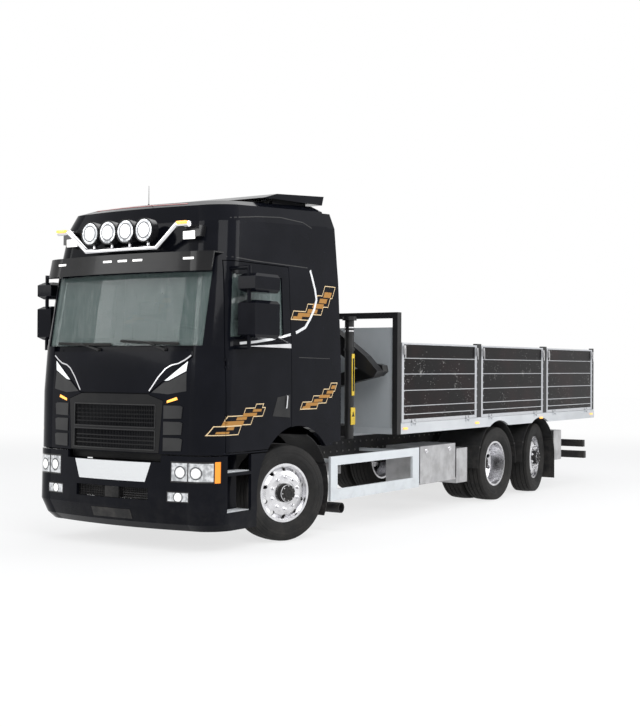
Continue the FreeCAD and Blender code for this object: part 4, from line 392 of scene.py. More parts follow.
@dataclass(frozen=True)
class BoardedGate(Finish):
    """Black boards held in a light frame, scratched by loads."""

    frame_colours: tuple[Colour, Colour] = ((0.60, 0.61, 0.63), (0.42, 0.43, 0.45))
    bare: Colour = (0.55, 0.54, 0.52)
    ends: Spot = (0.0, 0.0)
    frame_width: float = 0.052
    bottom: float = 1.205
    top: float = 2.108
    along: Axis = Axis.Y
    gaps: tuple[float, ...] = (1.263, 1.364, 1.553, 1.751, 1.942)
    gap_half: float = 0.0045

    def _wear(self, recipe: Recipe) -> Wire:
        """How bare the boards are: long scratches, scuffs and chips."""
        stretch = (6.0, 1.0, 9.0) if self.along is Axis.Y else (1.0, 6.0, 9.0)
        scratch = recipe.noise(7.0, 8.0, 0.75, stretch).ramp(0.64, 0.70)
        scuff = recipe.noise(3.2, 7.0, 0.75).ramp(0.60, 0.66) * recipe.noise(34.0, 4.0).ramp(0.50, 0.58)
        chips = recipe.cells(30.0).ramp(0.14, 0.08) * recipe.noise(3.0, 3.0).ramp(0.50, 0.60)
        return (scratch * 0.5 + scuff * 0.45 + chips).least(1.0)

    def build(self) -> bpy.types.Material:
        """Write the node tree."""
        recipe = Recipe(self.name)
        run, height = recipe.along[self.along], recipe.along[Axis.Z]
        rim = (height > self.top).most(height < self.bottom)
        for end in self.ends:
            rim = rim.most(abs(run - end) < self.frame_width)
        for gap in self.gaps:
            rim = rim.most(abs(height - gap) < self.gap_half)
        wear = self._wear(recipe)
        tint = recipe.mix(recipe.noise(1.4, 3.0).ramp(0.45, 0.7), self.colour, self.second)
        brushed = recipe.noise(40.0, 3.0, 0.6, (1.0, 6.0, 1.0)).ramp(0.3, 0.8)
        recipe.bump(recipe.noise(90.0, 3.0), 0.0005)
        return recipe.shade(
            Base_Color=recipe.mix(rim, recipe.mix(wear, tint, self.bare), recipe.mix(brushed, *self.frame_colours)),
            Roughness=wear * 0.3 + 0.26 + rim * 0.14,
            Metallic=rim * 0.5,
            Specular_IOR_Level=0.08,
        )


@dataclass(frozen=True)
class Brushed(Finish):
    """Bare metal brushed one way, painted black above a height and beyond a width."""

    streak: Point = (1.0, 1.0, 40.0)
    dust_foot: float = 0.15
    dust_scale: float = 8.0
    dust_patches: Spot = (0.4, 0.8)
    specular: float = 0.3
    line_roughness: float = 0.08
    dark_above: float = 9.0
    dark_beyond: float = 9.0
    dark: Colour = (0.011, 0.011, 0.012)

    def _painted(self, recipe: Recipe) -> Wire:
        """One where the metal is painted black."""
        return (recipe.along[Axis.Z] > self.dark_above).most(abs(recipe.along[Axis.X]) > self.dark_beyond)

    def build(self) -> bpy.types.Material:
        """Write the node tree."""
        recipe = Recipe(self.name)
        lines = recipe.noise(self.grain, 4.0, 0.7, self.streak)
        clouds = recipe.noise(self.cloud, 4.0)
        dirt, painted = self.dirt(recipe), self._painted(recipe)
        recipe.bump(lines, self.depth)
        metal = recipe.mix(clouds.ramp(0.3, 0.7), self.colour, self.second)
        return recipe.shade(
            Base_Color=recipe.mix(dirt, recipe.mix(painted, metal, self.dark), self.dust_colour),
            Roughness=self.rough(clouds, lines * self.line_roughness, dirt * self.dust_roughness),
            Metallic=(1.0 - painted) * self.metallic,
            Specular_IOR_Level=self.specular,
        )


@dataclass(frozen=True)
class LampBar(Brushed):
    """A polished tube that carries black lamp housings."""

    spots: Spot = (0.122, 0.371)
    level: float = 3.186
    housing: float = 0.124
    outer_from: float = 0.68
    outer_behind: float = -4.665

    def _painted(self, recipe: Recipe) -> Wire:
        """One on the housings of the spots and of the corner lamps."""
        across, height = abs(recipe.along[Axis.X]), recipe.along[Axis.Z]
        share = (across > self.outer_from) * (recipe.along[Axis.Y] > self.outer_behind)
        for middle in self.spots:
            share = share.most(distance(across - middle, height - self.level) < self.housing)
        return share


@dataclass(frozen=True)
class LampFace(Finish):
    """A lamp's front: silvered panes, bright spots, an amber end and a white field.

    A spot has its middle across and up and its radius; a pane has its two ends across, then up.
    """

    spots: tuple[Point, ...] = ()
    panes: tuple[Slab, ...] = ()
    field_half: float = 0.0
    field_low: float = 0.0
    field_top: float = 0.0
    amber_from: float = 9.0
    cell: float = 26.0
    ring_colour: Colour = (0.05, 0.05, 0.055)
    spot_colour: Colour = (0.95, 0.95, 0.90)
    gap_colour: Colour = (0.015, 0.015, 0.016)
    amber: Colour = (0.80, 0.26, 0.03)
    field: Colour = (0.72, 0.73, 0.73)
    spot_light: Colour = (1.0, 0.97, 0.88)
    amber_light: Colour = (0.5, 0.14, 0.01)

    def _lit(self, across: Wire, height: Wire) -> tuple[Wire, Wire]:
        """Where the spots glow, and the dark rings round them."""
        glow: Wire | None = None
        ring: Wire | None = None
        for middle, level, radius in self.spots:
            away = distance(across - middle, height - level)
            lit, edge = away.ramp(radius, radius * 0.55), abs(away - radius * 1.12) < radius * 0.10
            glow = lit if glow is None else glow.most(lit)
            ring = edge if ring is None else ring.most(edge)
        return glow, ring

    def build(self) -> bpy.types.Material:
        """Write the node tree."""
        recipe = Recipe(self.name)
        across, height = abs(recipe.along[Axis.X]), recipe.along[Axis.Z]
        cells = recipe.noise(self.cell, 2.0).ramp(0.35, 0.65)
        glow, ring = self._lit(across, height)
        amber = across > self.amber_from
        inside: Wire | float = 0.0 if self.panes else 1.0
        for low, high, bottom, top in self.panes:
            pane = (across > low) * (across < high) * (height > bottom) * (height < top)
            inside = pane.most(inside)
        field = (across < self.field_half) * (height > self.field_low) * (height < self.field_top)
        seen = recipe.mix(cells, self.colour, self.second)
        seen = recipe.mix(ring, seen, self.ring_colour)
        seen = recipe.mix(glow, seen, self.spot_colour)
        seen = recipe.mix(inside, self.gap_colour, seen)
        seen = recipe.mix(amber, seen, self.amber)
        light = recipe.mix(glow * (1.0 - field), (0.0, 0.0, 0.0), self.spot_light)
        recipe.bump(cells, self.depth)
        return recipe.shade(
            Base_Color=recipe.mix(field, seen, self.field),
            Emission_Color=recipe.mix(amber, light, self.amber_light),
            Emission_Strength=1.1,
            Roughness=field * 0.2 + 0.16,
            Metallic=(1.0 - glow).least(1.0 - field) * 0.55,
            Coat_Weight=self.coat,
            Coat_Roughness=0.03,
        )


@dataclass(frozen=True)
class Pane:
    """Tinted glass with a little dirt."""

    name: str
    tint: Colour
    see_through: float
    specular: float
    roughness: float = 0.02
    dirt: Colour = (0.5, 0.5, 0.5)

    def build(self) -> bpy.types.Material:
        """Write the node tree."""
        recipe = Recipe(self.name)
        smear = recipe.noise(6.0, 5.0, 0.6, (6.0, 6.0, 0.5)).ramp(0.40, 0.85)
        return recipe.shade(
            Base_Color=recipe.mix(smear * 0.25, self.tint, self.dirt),
            Roughness=smear * 0.06 + self.roughness,
            Alpha=smear * 0.05 + (1.0 - self.see_through),
            Metallic=0.0,
            Specular_IOR_Level=self.specular,
        )


@dataclass(frozen=True)
class Glow:
    """A lit lamp, with its glass's own colour and fine cells."""

    name: str
    colour: Colour
    strength: float
    cell: float = 160.0

    def build(self) -> bpy.types.Material:
        """Write the node tree."""
        recipe = Recipe(self.name)
        paler = tuple(min(1.0, part * 1.1 + 0.05) for part in self.colour)
        light = recipe.mix(recipe.cells(self.cell).ramp(0.1, 0.7), self.colour, paler)
        return recipe.shade(Base_Color=light, Emission_Color=light, Emission_Strength=self.strength, Roughness=0.15)


GLOSS_PAINT = dict(colour=(0.0045, 0.005, 0.0075), second=(0.006, 0.0065, 0.0095), roughness=(0.07, 0.16), coat=0.05,
                   depth=0.00003, grain=500.0, dust=0.22, dust_top=0.9, dust_colour=(0.04, 0.038, 0.036), specular=0.05)
DRAWN = dict(cloud=2.0, grain=25.0, depth=0.0002, streak=(1.0, 1.0, 25.0))
ALUMINIUM = dict(colour=(0.62, 0.64, 0.66), second=(0.54, 0.56, 0.58), roughness=(0.32, 0.46), metallic=0.4, dust=0.2,
                 **DRAWN)
BOARDS = dict(colour=(0.005, 0.0045, 0.005), second=(0.013, 0.0065, 0.007))
LENS = dict(roughness=(0.12, 0.2), coat=0.8, depth=0.0, dust=0.1)


class Look(Enum):
    """Every finish on the truck."""

    STRIPED = StripedPaint("cab_paint_striped", **GLOSS_PAINT)
    PAINT = Finish("cab_paint", **GLOSS_PAINT)
    GLOSS_BLACK = Finish("gloss_black", (0.009, 0.009, 0.010), (0.013, 0.013, 0.013), (0.15, 0.28), coat=0.08,
                         depth=0.00005, dust=0.15, specular=0.14)
    GRAINED = Finish("grained_plastic", (0.013, 0.013, 0.014), (0.022, 0.022, 0.022), (0.45, 0.65), grain=420.0,
                     depth=0.0005, dust=0.2, specular=0.2)
    FRAME_PAINT = Finish("chassis_paint", (0.016, 0.016, 0.018), (0.030, 0.029, 0.027), (0.4, 0.65), dust=0.4,
                         dust_top=1.1, dust_colour=(0.10, 0.09, 0.08), specular=0.2)
    CRANE_PAINT = Finish("crane_paint", (0.011, 0.011, 0.012), (0.02, 0.02, 0.02), (0.28, 0.5), coat=0.08, dust=0.2,
                         specular=0.25)
    ALLOY = Brushed("polished_alloy", (0.83, 0.83, 0.85), (0.62, 0.62, 0.64), (0.12, 0.32), 1.0, cloud=9.0, grain=60.0,
                    depth=0.0002, streak=(1.0, 1.0, 1.0), dust=0.35)
    STAINLESS = Brushed("brushed_stainless", (0.56, 0.56, 0.57), (0.40, 0.40, 0.41), (0.22, 0.45), 1.0, cloud=5.0,
                        grain=18.0, depth=0.0003, streak=(1.0, 1.0, 30.0), dust=0.5)
    BRIGHT = Brushed("polished_tube", (0.86, 0.86, 0.88), (0.72, 0.72, 0.74), (0.05, 0.14), 1.0, depth=0.0, dust=0.1)
    LIGHT_METAL = Brushed("painted_light_metal", (0.66, 0.69, 0.71), (0.60, 0.63, 0.65), (0.35, 0.5), 0.2, cloud=2.0,
                          grain=40.0, depth=0.0002, streak=(1.0, 1.0, 12.0), dust=0.28, dust_top=0.7)
    RAIL_METAL = Brushed("drawn_aluminium", **ALUMINIUM)
    PLATFORM = Brushed("platform_metal", dark_above=1.166, **ALUMINIUM)
    HEADBOARD = Brushed("headboard_metal", (0.50, 0.53, 0.55), (0.42, 0.45, 0.47), (0.35, 0.5), 0.3, dust=0.1,
                        dark_above=2.42, dark_beyond=1.205, **DRAWN)
    FLOOR_BOARD = Finish("bed_floor", (0.085, 0.062, 0.045), (0.14, 0.11, 0.085), (0.6, 0.85), grain=60.0,
                         streak=(14.0, 1.0, 1.0), depth=0.001, dust=0.0)
    RUBBER = Finish("tyre_rubber", (0.013, 0.013, 0.013), (0.024, 0.023, 0.022), (0.6, 0.85), grain=240.0, depth=0.0008,
                    dust=0.35, dust_top=1.0, dust_colour=(0.06, 0.055, 0.05), specular=0.2)
    IRON = Finish("engine_iron", (0.10, 0.10, 0.10), (0.17, 0.16, 0.15), (0.6, 0.85), grain=80.0, depth=0.002, dust=0.4)
    FABRIC = Finish("seat_fabric", (0.035, 0.036, 0.04), (0.06, 0.06, 0.066), (0.8, 0.95), grain=700.0, depth=0.0008,
                    dust=0.0)
    # Pale, half-matte trim for the bright-steel window lines: its light colour is a painted reflection of the white
    # studio in the steel.
    WHITE_TRIM = Finish("white_trim", (0.78, 0.79, 0.80), (0.70, 0.71, 0.72), (0.18, 0.3), metallic=0.25, dust=0.05)
    WINDSCREEN = Pane("windscreen_glass", (0.105, 0.145, 0.137), 0.40, 0.3)
    SIDE_GLASS = Pane("side_glass", (0.10, 0.135, 0.13), 0.36, 0.4)
    FRONT_LAMP = LampFace(
        "front_lamp_face", (0.40, 0.41, 0.42), (0.78, 0.79, 0.80), coat=0.3,
        panes=((0.765, 0.940, 0.715, 0.890), (0.955, 1.180, 0.715, 0.890), (0.725, 0.952, 0.517, 0.600)),
        spots=((0.86, 0.800, 0.052), (1.035, 0.795, 0.052), (0.84, 0.558, 0.044)),
        field_half=0.56, field_low=0.66, field_top=0.90, amber_from=1.188)
    SPOT_FACE = LampFace("spot_lamp_face", (0.22, 0.23, 0.24), (0.55, 0.56, 0.57), coat=0.3,
                         spots=((0.122, 3.186, 0.070), (0.371, 3.186, 0.070)))
    LAMP_BAR = LampBar("lamp_bar_tube", (0.80, 0.80, 0.82), (0.66, 0.66, 0.68), (0.08, 0.16), 1.0, depth=0.0, dust=0.05)
    DAY_LAMP = Glow("day_lamp", (0.80, 0.82, 0.82), 0.25)
    DARK_TRIM = Finish("dark_trim", (0.018, 0.018, 0.019), (0.03, 0.03, 0.03), (0.30, 0.5), dust=0.1, specular=0.25)
    AMBER_LENS = Finish("amber_lens", (0.62, 0.20, 0.02), (0.52, 0.15, 0.01), **LENS)
    WHITE_LAMP = Glow("white_lamp", (1.0, 0.95, 0.86), 0.9)
    WHITE_PANEL = Finish("blank_panel", (0.74, 0.75, 0.75), (0.68, 0.69, 0.70), (0.25, 0.4), dust=0.2)
    AMBER_LAMP = Glow("amber_lamp", (1.0, 0.36, 0.04), 1.2)
    RED_LAMP = Finish("red_lens", (0.45, 0.015, 0.01), (0.34, 0.01, 0.01), **LENS)
    YELLOW = Finish("warning_yellow", (0.72, 0.50, 0.03), (0.60, 0.42, 0.03), (0.3, 0.5), dust=0.1)
    GATE_ONE = BoardedGate("gate_boards_one", ends=BAYS["one"], **BOARDS)
    GATE_TWO = BoardedGate("gate_boards_two", ends=BAYS["two"], **BOARDS)
    GATE_THREE = BoardedGate("gate_boards_three", ends=BAYS["three"], **BOARDS)
    TAILGATE = BoardedGate("tailgate_boards", ends=(-1.266, 1.266), along=Axis.X, **BOARDS)

    @cache
    def material(self) -> bpy.types.Material:
        """The finish's material, built at its first use."""
        return self.value.build()


@dataclass
class Studio:
    """The pale floor, the soft light and the camera of the photograph's view."""

    camera_place: Point = (8.667, -13.661, 1.834)
    azimuth: float = 32.424
    pitch: float = 0.528
    roll: float = 0.296
    lens: float = 59.55
    shift: Spot = (-0.0666, -0.0105)
    floor_half: float = 60.0
    sensor: float = 36.0
    clip_end: float = 200.0
    floor_grey: Colour = (0.85, 0.85, 0.85)
    floor_roughness: float = 0.9
    fade: Spot = (8.0, 20.0)
    white_near: float = 0.72
    white_far: float = 0.99
    sky: Colour = (0.92, 0.95, 1.0)
    sky_strength: float = 0.55
    white: Colour = (1.0, 1.0, 1.0)
    lamps: tuple[tuple[str, Point, Point, float, float], ...] = (
        ("key_softbox", (9.0, -9.0, 9.0), (0.0, -2.0, 1.4), 7.0, 820.0),
        ("side_softbox", (11.0, 4.0, 6.0), (0.0, 1.0, 1.4), 6.0, 480.0),
        ("front_softbox", (-6.0, -12.0, 6.0), (0.0, -4.0, 1.8), 6.0, 420.0),
        ("top_softbox", (0.0, 0.0, 11.0), (0.0, 0.0, 0.0), 9.0, 520.0),
    )

    def build(self) -> None:
        """Make the floor, world, lamps and camera."""
        bpy.context.scene.view_settings.view_transform = "Standard"
        self._floor()
        self._world()
        for lamp in self.lamps:
            self._lamp(*lamp)
        self._camera()

    def _floor(self) -> None:
        """Lay the pale floor, which keeps the truck's shadow and fades to white far off."""
        half = self.floor_half
        mesh = bpy.data.meshes.new("studio_floor")
        mesh.from_pydata([(-half, -half, 0), (half, -half, 0), (half, half, 0), (-half, half, 0)], [], [(0, 1, 2, 3)])
        floor = bpy.data.objects.new("studio_floor", mesh)
        bpy.context.scene.collection.objects.link(floor)
        recipe = Recipe("studio_floor")
        recipe.shade(Base_Color=self.floor_grey, Roughness=self.floor_roughness)
        white = recipe.node("ShaderNodeEmission", None, {"Color": self.white, "Strength": 1.0})
        far = distance(recipe.along[Axis.X], recipe.along[Axis.Y]).ramp(*self.fade)
        share = recipe.seen() * (far * (self.white_far - self.white_near) + self.white_near)
        inputs = {0: share, 1: recipe.shader.outputs[0], 2: white.outputs[0]}
        recipe.feed(recipe.output.inputs[0], recipe.node("ShaderNodeMixShader", None, inputs).outputs[0])
        mesh.materials.append(recipe.material)

    def _world(self) -> None:
        """Give the world a white that shows and a soft grey that lights."""
        world = bpy.data.worlds.new("studio_world")
        bpy.context.scene.world = world
        world.use_nodes = True
        tree = Tree(world.node_tree)
        light = tree.node("ShaderNodeBackground", None, {0: self.sky, 1: self.sky_strength})
        white = tree.node("ShaderNodeBackground", None, {0: self.white, 1: 1.0})
        mixed = tree.node("ShaderNodeMixShader", None, {0: tree.seen(), 1: light.outputs[0], 2: white.outputs[0]})
        tree.node("ShaderNodeOutputWorld", None, {0: mixed.outputs[0]})

    def _lamp(self, name: str, place: Point, target: Point, size: float, power: float) -> None:
        """Hang one square soft lamp.

        Args:
            name: the lamp's name.
            place: where it hangs.
            target: what it faces.
            size: its side, in metres.
            power: its power, in watts.
        """
        data = bpy.data.lights.new(name, "AREA")
        data.size, data.energy = size, power
        lamp = bpy.data.objects.new(name, data)
        lamp.location = place
        lamp.rotation_euler = (Vector(target) - Vector(place)).to_track_quat("-Z", "Y").to_euler()
        bpy.context.scene.collection.objects.link(lamp)

    def _camera(self) -> None:
        """Set the camera that the photograph was taken with."""
        yaw, pitch, roll = (math.radians(angle) for angle in (self.azimuth, self.pitch, self.roll))
        ahead = Vector((-math.sin(yaw) * math.cos(pitch), math.cos(yaw) * math.cos(pitch), math.sin(pitch)))
        right = Vector((math.cos(yaw), math.sin(yaw), 0.0))
        up = right.cross(ahead)
        turned = (right * math.cos(roll) + up * math.sin(roll), up * math.cos(roll) - right * math.sin(roll), -ahead)
        data = bpy.data.cameras.new("photo_camera")
        data.lens, data.sensor_width, data.clip_end = self.lens, self.sensor, self.clip_end
        data.shift_x, data.shift_y = self.shift
        camera = bpy.data.objects.new("photo_camera", data)
        camera.matrix_world = Matrix.Translation(self.camera_place) @ Matrix(turned).transposed().to_4x4()
        bpy.context.scene.collection.objects.link(camera)
        bpy.context.scene.camera = camera


class Probe:
    """Finds the surface of some CAD nodes along straight looks."""

    reach = 8.0

    def __init__(self, *nodes: str) -> None:
        """Gather the nodes' faces in one search tree."""
        corners: list[Vector] = []
        faces: list[list[int]] = []
        for node in nodes:
            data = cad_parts[node].data
            start = len(corners)
            corners += [vertex.co.copy() for vertex in data.vertices]
            faces += [[start + index for index in polygon.vertices] for polygon in data.polygons]
        self.tree = BVHTree.FromPolygons(corners, faces)

    def hit(self, view: View, first: float, second: float) -> tuple[Vector, Vector]:
        """Find the point of the surface at one place of a look.

        Args:
            view: the look.
            first: the place along the look's first axis.
            second: the place along its second axis.

        Returns:
            The point and the normal that faces the eye.
        """
        heading, axes, body = Vector(view.value[0]), view.value[1], view.value[2]
        start = heading * -self.reach
        start[axes[0]], start[axes[1]] = first, second
        point, normal, _, _ = self.tree.ray_cast(start, heading)
        if point is None:
            point, normal, _, _ = self.tree.find_nearest(start + heading * (self.reach - body))
        return point, (normal if normal.dot(heading) < 0 else -normal)


def band(path: Flat, width: float) -> list[Spot]:
    """Outline a strip along a flat path.

    Args:
        path: the strip's middle line.
        width: its width.

    Returns:
        The outline, once round.
    """
    left, right = [], []
    for index, (first, second) in enumerate(path):
        before, after = path[max(index - 1, 0)], path[min(index + 1, len(path) - 1)]
        run = Vector((after[0] - before[0], after[1] - before[1])).normalized() * width / 2
        left.append((first - run.y, second + run.x))
        right.append((first + run.y, second - run.x))
    return left + right[::-1]


def mirror(outline: Flat) -> list[Spot]:
    """The same outline with its first coordinate on the other side."""
    return [(-first, second) for first, second in outline]


def both(*outlines: Flat) -> list[Flat]:
    """The outlines, and then all of them mirrored."""
    return [turn(outline) for turn in (list, mirror) for outline in outlines]


def bar(low: Spot, high: Spot) -> list[Spot]:
    """A flat rectangle's outline."""
    return [low, (high[0], low[1]), high, (low[0], high[1])]


class Draft:
    """One piece that is being drawn: shapes gathered in one mesh, in the row frame."""

    def __init__(self, name: str) -> None:
        """Start an empty mesh."""
        self.name = name
        self.mesh = bmesh.new()

    def _placed(self, verts: Iterable[bmesh.types.BMVert], matrix: Matrix) -> "Draft":
        """Move some corners."""
        bmesh.ops.transform(self.mesh, matrix=matrix, verts=list(verts))
        return self

    def _skin(self, rings: Sequence[Sequence[Vector]], closed: bool = False) -> "Draft":
        """Join rings of points with faces; a ring of one point is a tip.

        Args:
            rings: the rings, all but the tips with as many points.
            closed: whether the last ring joins the first; else the ends get caps.

        Returns:
            This draft.
        """
        made = [[self.mesh.verts.new(point) for point in ring] for ring in rings]
        steps = max(len(ring) for ring in made)
        for first, second in zip(made, made[1:] + (made[:1] if closed else [])):
            for step in range(steps):
                follow = (step + 1) % steps
                corners = [first[step % len(first)], first[follow % len(first)],
                           second[follow % len(second)], second[step % len(second)]]
                unique = list(dict.fromkeys(corners))
                if len(unique) > 2:
                    self.mesh.faces.new(unique)
        for ring in () if closed else (made[0], made[-1]):
            if len(ring) > 2:
                self.mesh.faces.new(ring)
        return self

    def block(self, low: Point, high: Point, edge: float = 0.0) -> "Draft":
        """Add a box, with its edges rounded by a radius."""
        made = bmesh.ops.create_cube(self.mesh, size=1.0)["verts"]
        self._placed(made, Matrix.Diagonal((*(Vector(high) - Vector(low)), 1.0)))
        if edge > 0:
            edges = {item for vert in made for item in vert.link_edges}
            made = bmesh.ops.bevel(self.mesh, geom=list(edges), offset=edge, segments=2, profile=0.6,
                                   affect="EDGES")["verts"]
        return self._placed(made, Matrix.Translation((Vector(high) + Vector(low)) / 2))

    def lathe(self, axis: Axis, centre: Point, outline: Flat, steps: int = 48, closed: bool = False) -> "Draft":
        """Spin an outline of (distance along the axis, radius) about an axis.

        Args:
            axis: the spin's axis.
            centre: a point on it.
            outline: open outline whose ends get caps where their radius isn't zero.
            steps: facets round the spin.
            closed: whether the outline's last point joins its first, as in a ring.

        Returns:
            This draft.
        """
        first, second = (index for index in range(3) if index != axis.value)
        rings = []
        for run, radius in outline:
            ring = []
            for step in range(steps if radius > 1e-6 else 1):
                spot = Vector(centre)
                spot[axis.value] += run
                spot[first] += radius * math.cos(math.tau * step / steps)
                spot[second] += radius * math.sin(math.tau * step / steps)
                ring.append(spot)
            rings.append(ring)
        return self._skin(rings, closed)

    def ring(self, axis: Axis, centre: Point, inner: float, outer: float, width: float, steps: int) -> "Draft":
        """Add a flat band round an axis, from a centre along it."""
        outline = [(0.0, inner), (0.0, outer), (width, outer), (width, inner)]
        return self.lathe(axis, centre, outline, steps, True)

    def rod(self, start: Point, end: Point, radius: float, steps: int) -> "Draft":
        """Add a round bar between two points."""
        first, second = Vector(start), Vector(end)
        made = bmesh.ops.create_cone(self.mesh, cap_ends=True, segments=steps, radius1=radius, radius2=radius,
                                     depth=(second - first).length)["verts"]
        turn = (second - first).to_track_quat("Z", "Y").to_matrix().to_4x4()
        return self._placed(made, Matrix.Translation((first + second) / 2) @ turn)

    def tube(self, points: Sequence[Point], radius: float, steps: int) -> "Draft":
        """Sweep a circle along a path with mitred corners."""
        path = [Vector(point) for point in points]
        circle = [Vector((math.cos(angle) * radius, math.sin(angle) * radius, 0.0))
                  for angle in (math.tau * step / steps for step in range(steps))]
        rings = []
        for index, point in enumerate(path):
            ahead = path[min(index + 1, len(path) - 1)] - path[max(index - 1, 0)]
            turn = ahead.normalized().to_track_quat("Z", "Y").to_matrix()
            rings.append([point + turn @ spot for spot in circle])
        return self._skin(rings)

    def plate(self, outline: Sequence[Point], thickness: Vector) -> "Draft":
        """Add a flat plate from an outline, thickened along a vector."""
        bottom = [Vector(point) for point in outline]
        return self._skin([bottom, [point + thickness for point in bottom]])

    def lay(self, probe: Probe, view: View, outlines: Iterable[Flat], rise: float = 0.0015, sink: float = 0.003,
            pitch: float = 0.05) -> "Draft":
        """Add thin plates that lie on a curved surface.

        Args:
            probe: the surface.
            view: the look in which the outlines are drawn.
            outlines: the plates' outlines in that look.
            rise: how far they stand off the surface.
            sink: how far their backs lie under it.
            pitch: the widest span that stays flat.

        Returns:
            This draft.
        """
        for outline in outlines:
            flat = self._cut(outline, pitch)
            tops, backs = {}, {}
            for vert in flat.verts:
                point, normal = probe.hit(view, vert.co.x, vert.co.y)
                tops[vert] = self.mesh.verts.new(point + normal * rise)
                backs[vert] = self.mesh.verts.new(point - normal * sink)
            for face in flat.faces:
                self.mesh.faces.new([tops[vert] for vert in face.verts])
                self.mesh.faces.new([backs[vert] for vert in reversed(face.verts)])
            for edge in flat.edges:
                if edge.is_boundary:
                    first, second = edge.verts
                    self.mesh.faces.new((tops[first], tops[second], backs[second], backs[first]))
            flat.free()
        return self

    def _cut(self, outline: Flat, pitch: float) -> bmesh.types.BMesh:
        """Fill a flat outline and cut it into cells no wider than the pitch."""
        flat = bmesh.new()
        flat.faces.new([flat.verts.new((first, second, 0.0)) for first, second in outline])
        bmesh.ops.triangulate(flat, faces=flat.faces)
        for index, facing in enumerate((Vector((1.0, 0.0, 0.0)), Vector((0.0, 1.0, 0.0)))):
            places = [corner[index] for corner in outline]
            low = min(places)
            for step in range(1, int((max(places) - low) / pitch) + 1):
                everything = [*flat.verts, *flat.edges, *flat.faces]
                bmesh.ops.bisect_plane(flat, geom=everything, plane_no=facing, plane_co=facing * (low + step * pitch))
        return flat

    def turned(self, degrees: float, centre: Point) -> "Draft":
        """Turn everything so far about the upright through the origin, then move it to a centre."""
        turn = Matrix.Rotation(math.radians(degrees), 4, "Z")
        return self._placed(self.mesh.verts, Matrix.Translation(centre) @ turn)

    def close(self) -> bpy.types.Mesh:
        """Turn the shapes outward and hand over the mesh."""
        bmesh.ops.recalc_face_normals(self.mesh, faces=self.mesh.faces)
        data = bpy.data.meshes.new(self.name)
        self.mesh.to_mesh(data)
        self.mesh.free()
        return data

    def finish(self, look: Look, body: str, slot: str, smooth: float = 35.0) -> bpy.types.Object:
        """Close the mesh and hang it on a body, as hang() does."""
        return hang(self.name, self.close(), look, body, smooth)


def evaluated(made: bpy.types.Object) -> bpy.types.Mesh:
    """A plain mesh of an object with its modifiers applied."""
    return bpy.data.meshes.new_from_object(made.evaluated_get(bpy.context.evaluated_depsgraph_get()))


def hang(name: str, data: bpy.types.Mesh, look: Look, body: str, smooth: float = 35.0) -> bpy.types.Object:
    """Make an object of a mesh and let it ride on a body.

    Args:
        name: the piece's name.
        data: its mesh, in the row frame.
        look: its finish.
        body: the CAD body that it rides on.
        smooth: edges flatter than this angle are smoothed, in degrees.

    Returns:
        The new object.
    """
    for polygon in data.polygons:
        polygon.use_smooth = True
    data.set_sharp_from_angle(angle=math.radians(smooth))
    data.materials.clear()
    data.materials.append(look.material())
    made = bpy.data.objects.new(name, data)
    bpy.context.scene.collection.objects.link(made)
    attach(made, body)
    log.info("%s rides on %s with %d faces", name, body, len(data.polygons))
    return made


class Repeat:
    """Sets one small part at many places through a Geometry Nodes group."""

    def __init__(self) -> None:
        """Write the group: places go in, parts turned along each place's heading come out."""
        self.tree = bpy.data.node_groups.new("parts_at_places", "GeometryNodeTree")
        socket = self.tree.interface.new_socket
        socket("Places", in_out="INPUT", socket_type="NodeSocketGeometry")
        self.part = socket("Part", in_out="INPUT", socket_type="NodeSocketObject").identifier
        socket("Parts", in_out="OUTPUT", socket_type="NodeSocketGeometry")
        make = self.tree.nodes.new
        start, end = make("NodeGroupInput"), make("NodeGroupOutput")
        shape, heading = make("GeometryNodeObjectInfo"), make("GeometryNodeInputNamedAttribute")
        turn, placed = make("FunctionNodeAlignRotationToVector"), make("GeometryNodeInstanceOnPoints")
        real = make("GeometryNodeRealizeInstances")
        heading.data_type = "FLOAT_VECTOR"
        heading.inputs["Name"].default_value = "heading"
        turn.axis = "Z"
        for source, target in (
            (start.outputs["Part"], shape.inputs["Object"]),
            (start.outputs["Places"], placed.inputs["Points"]),
            (shape.outputs["Geometry"], placed.inputs["Instance"]),
            (heading.outputs["Attribute"], turn.inputs["Vector"]),
            (turn.outputs[0], placed.inputs["Rotation"]),
            (placed.outputs[0], real.inputs[0]),
            (real.outputs[0], end.inputs[0]),
        ):
            self.tree.links.new(source, target)

    def place(self, part: Draft, places: Places, look: Look, body: str, slot: str) -> bpy.types.Object:
        """Set the part at every place, as one plain mesh.

        Args:
            part: the part, standing on its origin and pointing up.
            places: points and the headings that the part points along there.
            look: its finish.
            body: the CAD body that it rides on.
            slot: the record's material slot; not used.

        Returns:
            The new object.
        """
        template = bpy.data.objects.new(f"{part.name}_part", part.close())
        mesh = bpy.data.meshes.new(f"{part.name}_places")
        mesh.from_pydata([tuple(point) for point, _ in places], [], [])
        heading = mesh.attributes.new("heading", "FLOAT_VECTOR", "POINT")
        for item, (_, facing) in zip(heading.data, places):
            item.vector = facing
        carrier = bpy.data.objects.new(f"{part.name}_carrier", mesh)
        for made in (template, carrier):
            bpy.context.scene.collection.objects.link(made)
        nodes = carrier.modifiers.new("parts", "NODES")
        nodes.node_group = self.tree
        nodes[self.part] = template
        carrier.update_tag()
        data = evaluated(carrier)
        data.name = part.name
        for made in (template, carrier):
            bpy.data.objects.remove(made)
        return hang(part.name, data, look, body)


